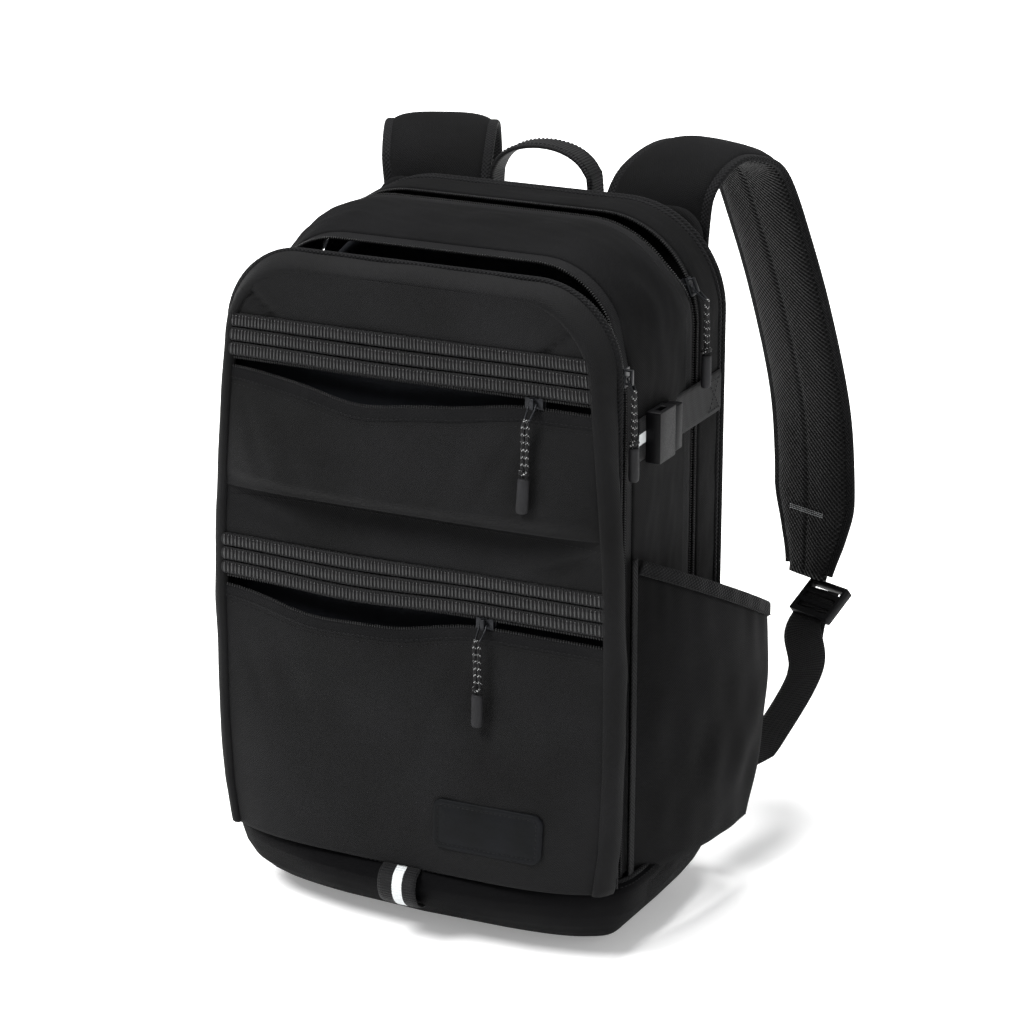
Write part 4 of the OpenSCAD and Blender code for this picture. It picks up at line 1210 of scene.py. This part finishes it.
def inflated(o, pressure=4.0, frames=20):
    """Blow a closed skin up a little as cloth held where it is sewn to the back, and keep the result."""
    re = o.modifiers.new("even", "REMESH")
    re.mode, re.voxel_size = "VOXEL", 5.0 * MM
    made_plain(o, MESH)
    held = o.vertex_groups.new(name="sewn")
    held.add([v.index for v in o.data.vertices if v.co.y < SEWN_Y], 1.0, "REPLACE")
    before = np.array([v.co for v in o.data.vertices])
    c = o.modifiers.new("cloth", "CLOTH")
    c.settings.quality = 5
    c.settings.mass = 0.3
    c.settings.use_pressure = True
    c.settings.uniform_pressure_force = pressure
    c.settings.tension_stiffness = c.settings.compression_stiffness = 12
    c.settings.bending_stiffness = 1.2
    c.settings.effector_weights.gravity = 0
    c.settings.vertex_group_mass = "sewn"
    c.point_cache.frame_start, c.point_cache.frame_end = 1, frames
    scene = bpy.context.scene
    for f in range(1, frames + 1):
        scene.frame_set(f)
    made_plain(o, MESH)
    scene.frame_set(1)
    after = np.array([v.co for v in o.data.vertices])
    move = after - before
    length = np.linalg.norm(move, axis=1)[:, None]
    move *= np.minimum(1, MOST_MOVE / np.maximum(length, 1e-9))
    after = before + move
    o.data.vertices.foreach_set("co", after.astype(np.float32).ravel())
    layer = o.data.uv_layers.get("UVMap") or o.data.uv_layers.new(name="UVMap")
    index = np.empty(len(o.data.loops), np.int32)
    o.data.loops.foreach_get("vertex_index", index)
    layer.data.foreach_set("uv", after[index][:, [0, 2]].astype(np.float32).ravel())
    sub = o.modifiers.new("soft", "SUBSURF")
    sub.levels = sub.render_levels = 1
    made_plain(o, MESH)
    o.vertex_groups.clear()
    print(o.name, "moved up to", round(float(length.max()) * 1000, 1), "mm")
    return o


for i, (name, cx, w, z0, top, r) in enumerate((("pad_right", 56, 42, 108, 370, 24),
                                               ("pad_left", -56, 42, 108, 370, 24),
                                               ("pad_low", 0, 92, 50, 98, 22))):
    o = pad(name, cx, w, z0, top, r, 30 + i)
    inflated(o)
    put(o, "bag", ["back_pads"] if i == 0 else ())

# %% Shoulder straps
OUT = np.array([1.1, 2.1, 10.5, 31.5, 53.5, 77.5, 101.5, 121.5, 137.5, 143.5, 144.5, 142.5, 140.5]) + 6.5
UP = np.array([384, 404, 426, 440, 441, 428, 378, 325, 270, 225, 185, 160, 150.0])
TURN = np.radians(23)


def strap_line(step=5.0):
    p = np.stack([70 + OUT * math.sin(TURN), 75.5 + OUT * math.cos(TURN), UP], 1)
    a = TURN * np.clip((np.arange(len(OUT)) - 1) / 3, 0, 1)
    d = np.stack([np.cos(a), -np.sin(a), 0 * a], 1)
    s, line = arc_lengths(p), smooth_line(p, step)
    t = np.linspace(0, s[-1], len(line))
    return line, np.stack([np.interp(t, s, d[:, k]) for k in range(3)], 1)


line, across = strap_line()
length = arc_lengths(line)
t = length / length[-1]
half_w = 31 - 9 * ease((t - 0.86) / 0.10) - 6 * ease((t - 0.93) / 0.07)
half_t = 6.2 - 1.2 * ease((0.06 - t) / 0.06) - 2.4 * ease((t - 0.93) / 0.07)
tangent = unit(np.gradient(line, axis=0))
across = unit(across - tangent * (across * tangent).sum(1)[:, None])
facing = np.cross(tangent, across)
inward = -facing if facing[len(facing) // 2][1] > 0 else facing
u = np.linspace(-1, 1, 33)
top_of = (1 - np.abs(u) ** 3.2) ** 0.6
groove = 0.17 * np.exp(-(u / 0.05) ** 2)
bumps = jitter((len(line), len(u)), 40, 12) * 0.35 * (1 - u ** 2)
START = (86.2, 112.5, 440.2)
END = (90.5, 121.0, 440.8)

for side, s in BOTH:
    flip = np.array([s, 1, 1])
    body = ("bag", f"shoulder_strap_{side}")
    seat = (np.array(START) * flip, np.array(END) * flip)
    offs = u[None, :, None] * half_w[:, None, None] * across[:, None]
    swell = (top_of - groove)[None, :, None] * half_t[:, None, None] + bumps[..., None] + 0.5
    inside = line[:, None] + offs + inward[:, None] * swell
    flatter = (top_of * 0.9)[None, :, None] * half_t[:, None, None] + 0.5
    outside = line[:, None] + offs - inward[:, None] * flatter
    uv = np.stack([np.broadcast_to(u, bumps.shape) * half_w[:, None],
                   np.broadcast_to(length[:, None], bumps.shape)], 2)
    o = skin(f"strap_pad_{side}", inside * flip, outside * flip, MESH, uv)
    o.data.materials.append(BODY)
    n, m = bumps.shape
    index = np.array([min(p.vertices) >= n * m for p in o.data.polygons], np.int32)
    o.data.polygons.foreach_set("material_index", index)
    put(o, body, [f"shoulder_strap_{side}", f"strap_stub_{side}"], blend=seat)
    for k, e in (("outer", 1), ("inner", -1)):
        edge = line + across * (half_w * e)[:, None]
        o = sweep(f"strap_binding_{k}_{side}", edge[1:-1] * flip, across[1:-1] * flip,
                  flat_section(8.5, 3.6, 9, 0.35), BINDING)
        put(o, body, blend=seat)
        seam = edge - across * (2.9 * e) + inward * 1.95
        stitches(f"strap_stitch_{k}_{side}", [seam[1:-1] * flip], [inward[1:-1] * flip], body,
                 2.8, (2.1, 0.6, 0.5), blend=seat)
    # the webbing sewn down the outside of the strap, and the bar tack across its inside
    web = line - inward * (half_t * 0.9 + 1.1)[:, None]
    keep = (t > 0.36) & (t < 0.985)
    o = sweep(f"strap_web_{side}", web[keep] * flip, across[keep] * flip, flat_section(25, 1.6), WEBBING)
    put(o, body, blend=seat)
    at = int(np.argmin(np.abs(t - 0.885)))
    proud = inward[at] * (half_t[at] * top_of[len(u) // 2] + 0.9)
    tack = np.array([(line[at] + across[at] * x + proud) * flip for x in (-14, 14)])
    tacks = [tack + tangent[at] * flip * k for k in (-1.2, 0, 1.2)]
    o = row(f"strap_bar_tack_{side}", tacks, [inward[at] * flip] * 3, PALE, 1.6, (1.3, 0.6, 0.7))
    put(o, body, blend=seat)

# %% [markdown]
# The lower webbing is sewn into a wing at the foot of the back, runs up through the ladder lock, and
# its cut end hangs down beside it.

# %% Lower webbing, wings and haul handle
LOCK = line[-1] + [14, -12, -11.3]
side_way = np.array([math.cos(TURN), -math.sin(TURN), 0])
for side, s in BOTH:
    flip = np.array([s, 1, 1])
    body = f"shoulder_strap_{side}"
    foot = np.array([138.4, 80.5, 66])
    run = [foot, foot + [5, 30, 12], foot + [12, 72, 42], LOCK + [-6, -15, -14], LOCK + [-1, 0, -1.5],
           LOCK + [0.5, 5, 6]]
    w = smooth_line(run, 3.0)
    grow = np.clip(0.25 + arc_lengths(w) / 24, 0, 1)
    o = sweep(f"lower_webbing_{side}", w * flip, side_way * flip, WEB, WEBBING,
              scale=np.stack([grow, np.ones(len(w))], 1))
    put(o, body, [f"strap_webbing_{side}"])
    tail = smooth_line([LOCK + [0, 2, 2.4], LOCK + [-2, -4, -2], LOCK + [-3, -10, -14], LOCK + [-4, -14, -36],
                        LOCK + [-6, -16, -52]], 3.0)
    o = sweep(f"webbing_tail_{side}", tail * flip, side_way * flip, WEB, WEBBING)
    put(o, body)
    wing = np.array([[94, 47], [126, 45], [138.5, 53], [138.5, 79], [126, 89], [100, 108]], float)
    sides = (wing[[i, (i + 1) % len(wing)]] for i in range(len(wing)))
    outline = np.concatenate([evenly(np.insert(a, 2, 0, axis=1), 3)[:-1, :2] for a in sides])
    c = outline.mean(0)
    r = [np.insert(c + (outline - c) * (1 - inset / 26), 1, y, axis=1)
         for inset, y in ((1.0, 72.5), (0.2, 74), (0, 77.5), (1.4, 79.4), (5, 80.0), (14, 80.2))]
    put(loft(f"wing_cloth_{side}", [q * flip for q in r], BODY), "bag", [f"strap_wing_{side}"])
    stitch = np.concatenate([r[3], r[3][:1]]) + [0, 0.5, 0]
    stitches(f"wing_stitch_{side}", [stitch * flip], [(0, 1, 0)], "bag", 3, (2.2, 0.6, 0.5))

a = np.linspace(0, math.pi, 40)
HAND_HALF, HAND_Y, HAND_Z = 34.2, 85.8, 398.2
loop = np.stack([-HAND_HALF * np.cos(a), np.full(len(a), HAND_Y), HAND_Z + 46.0 * np.sin(a) ** 0.45], 1)
ends = [[(s * HAND_HALF, HAND_Y, HAND_Z)] for s in (-1, 1)]
loop = smooth_line(np.concatenate([ends[0], loop[3:-3:2], ends[1]]), 3.0)
put(sweep("haul_handle_web", loop, (0, 1, 0), flat_section(20, 3.2, 10, 0.5), WEBBING),
    "haul_handle", ["haul_handle"])
n_up = unit(np.cross(np.gradient(loop, axis=0), [0, 1, 0]))
n_up *= np.sign((n_up * (loop - [0, HAND_Y, 400])).sum(1).mean())
seams = [loop + [0, k, 0] + n_up * 1.75 for k in (-7.6, 7.6)]
stitches("haul_handle_stitch", seams, [n_up] * 2, "haul_handle", 2.8, (2.1, 0.7, 0.5))

# %% [markdown]
# ## Zip pulls
# A wire bail through the slider's bridge, a doubled cord with reflective flecks, its knot, and a
# moulded end. The piece hangs off its pivot, away from the cloth by the distance the CAD gives it.

# %% Pulls
# the moulded end: its half width and how far down it is
END_SHAPE = ((2.2, 40.0), (3.0, 40.2), (3.35, 40.9), (3.45, 42.0), (3.6, 50), (3.65, 57.0), (3.4, 58.9),
             (2.8, 59.7), (1.6, 60.0))


def place(points, pivot, out, across):
    """Local (across, out, down) in mm to the row frame."""
    points = np.asarray(points, float)
    return (np.asarray(pivot) + points[:, :1] * np.asarray(across) + points[:, 1:2] * np.asarray(out)
            + points[:, 2:3] * np.array([0, 0, -1.0]))


def pull(name, node, pivot, out, off, lean=0.0):
    out = np.array(out, float)
    across_ = np.cross(out, [0, 0, 1.0])

    def at(points):
        points = np.array(points, float)
        points[:, 1] += lean * np.clip(points[:, 2] - 9, 0, None) / 50
        return place(points, pivot, out, across_)

    bail = smooth_line([(-2.1, 0.0, 0), (-2.1, 0.3 * off, 3), (-1.5, 0.9 * off, 7.4), (0, off, 8.6),
                        (1.5, 0.9 * off, 7.4), (2.1, 0.3 * off, 3), (2.1, 0.0, 0), (0, 0, -0.3)], 0.8)
    o = sweep(f"{name}_bail", at(bail), out + np.array([0, 0, 0.02]), circle(0.62, 8), METAL)
    put(o, node, [node])
    sway = 0.5
    for k, e in (("a", 1), ("b", -1)):
        c = smooth_line([(0.2 * e, off + 0.3 * e, 7.2), (1.35 * e, off + 0.3 * e, 11),
                         (1.2 * e, off - 0.1 * e, 22), (1.3 * e, off, 33), (0.9 * e, off, 41)], 1.0)
        c = at(c + [sway, 0, 0] * np.sin(c[:, 2:3] / 9))
        put(sweep(f"{name}_cord_{k}", c, out, circle(1.25, 10), CORD), node)
    turns = np.linspace(0, 2.2 * math.pi, 14)
    knot = [(2.0 * math.cos(q), off + 2.0 * math.sin(q), 36.5 + 1.7 * q / 6.3) for q in turns]
    knot = smooth_line(knot, 0.8)
    put(sweep(f"{name}_knot", at(knot), (0, 0, 1), circle(1.2, 8), CORD), node)
    section = circle(1.0, 20) * [1, 0.82]
    rings_ = [at(np.column_stack([r * section + [0, off], np.full(20, z)])) for r, z in END_SHAPE]
    put(loft(f"{name}_end", rings_, RUBBER), node)


for name, q in ZIPS.items():
    pull(f"{name}_zip", f"{name}_pull", (q["mid"] + q["half"] + 1, -94.7, q["z"]), (0, -1, 0), 7.7,
         6.0 if name == "upper" else 1.0)
for side, s in BOTH:
    pull(f"main_zip_{side}", f"main_pull_{side}", (s * 127.45, -70.5, 355), (s, 0, 0), 3.4)
    pull(f"laptop_zip_{side}", f"laptop_pull_{side}", (s * 122.76, 27.5, 384.14), (s, 0, 0), 9.0)
print("whole bag:", len(made), "pieces,", sum(len(o.data.polygons) for o in made), "faces")

# %% [markdown]
# ## Stage and light
# A plain white floor and surround, a large soft light from the upper left, a weak one from the right,
# and one overhead, so that black cloth keeps its folds without a hard highlight.

# %% Stage
def stage_plane():
    m = bpy.data.meshes.new("floor")
    m.from_pydata([(-9, -9, 0), (9, -9, 0), (9, 9, 0), (-9, 9, 0)], [], [(0, 1, 2, 3)])
    f = Finish("floor", "#fdfdfd", 0.9)
    # beyond a metre the floor turns into the same plain white as the surround
    away = f.add("ShaderNodeVectorMath", _out=1, _p={"operation": "LENGTH"}, i0=f.where())
    far = f.add("ShaderNodeMapRange", i0=away, i1=0.8, i2=1.8, i3=0.25, i4=1.0)
    f.b.inputs["Emission Color"].default_value = (1, 1, 1, 1)
    f.set("Emission Strength", far)
    f.b.inputs["Specular IOR Level"].default_value = 0.1
    m.materials.append(f.m)
    o = bpy.data.objects.new("floor", m)
    o.location.z = -0.0006
    bpy.context.scene.collection.objects.link(o)


def area(name, place_, aim, size, watts):
    d = bpy.data.lights.new(name, "AREA")
    d.shape, d.size, d.energy = "DISK", size, watts
    o = bpy.data.objects.new(name, d)
    o.location = place_
    v = np.array(aim, float) - np.array(place_, float)
    o.rotation_euler = (math.atan2(math.hypot(v[0], v[1]), -v[2]), 0, math.atan2(v[1], v[0]) - math.pi / 2)
    bpy.context.scene.collection.objects.link(o)


stage_plane()
area("key", (-1.0, -1.8, 2.7), (0, 0, 0.2), 1.3, 125)
area("fill", (2.3, -1.1, 1.3), (0, 0, 0.2), 1.4, 10)
area("top", (0.1, 0.3, 2.8), (0, 0, 0.2), 1.3, 95)
world = bpy.data.worlds.new("surround")
bpy.context.scene.world = world
world.use_nodes = True
wt = world.node_tree
bg = wt.nodes["Background"]
path = wt.nodes.new("ShaderNodeLightPath")
mix = wt.nodes.new("ShaderNodeMapRange")
mix.inputs["To Min"].default_value, mix.inputs["To Max"].default_value = 0.36, 1.0
wt.links.new(path.outputs["Is Camera Ray"], mix.inputs["Value"])
wt.links.new(mix.outputs[0], bg.inputs["Strength"])
bg.inputs["Color"].default_value = (1, 1, 1, 1)
bpy.context.scene.view_settings.view_transform = "Standard"
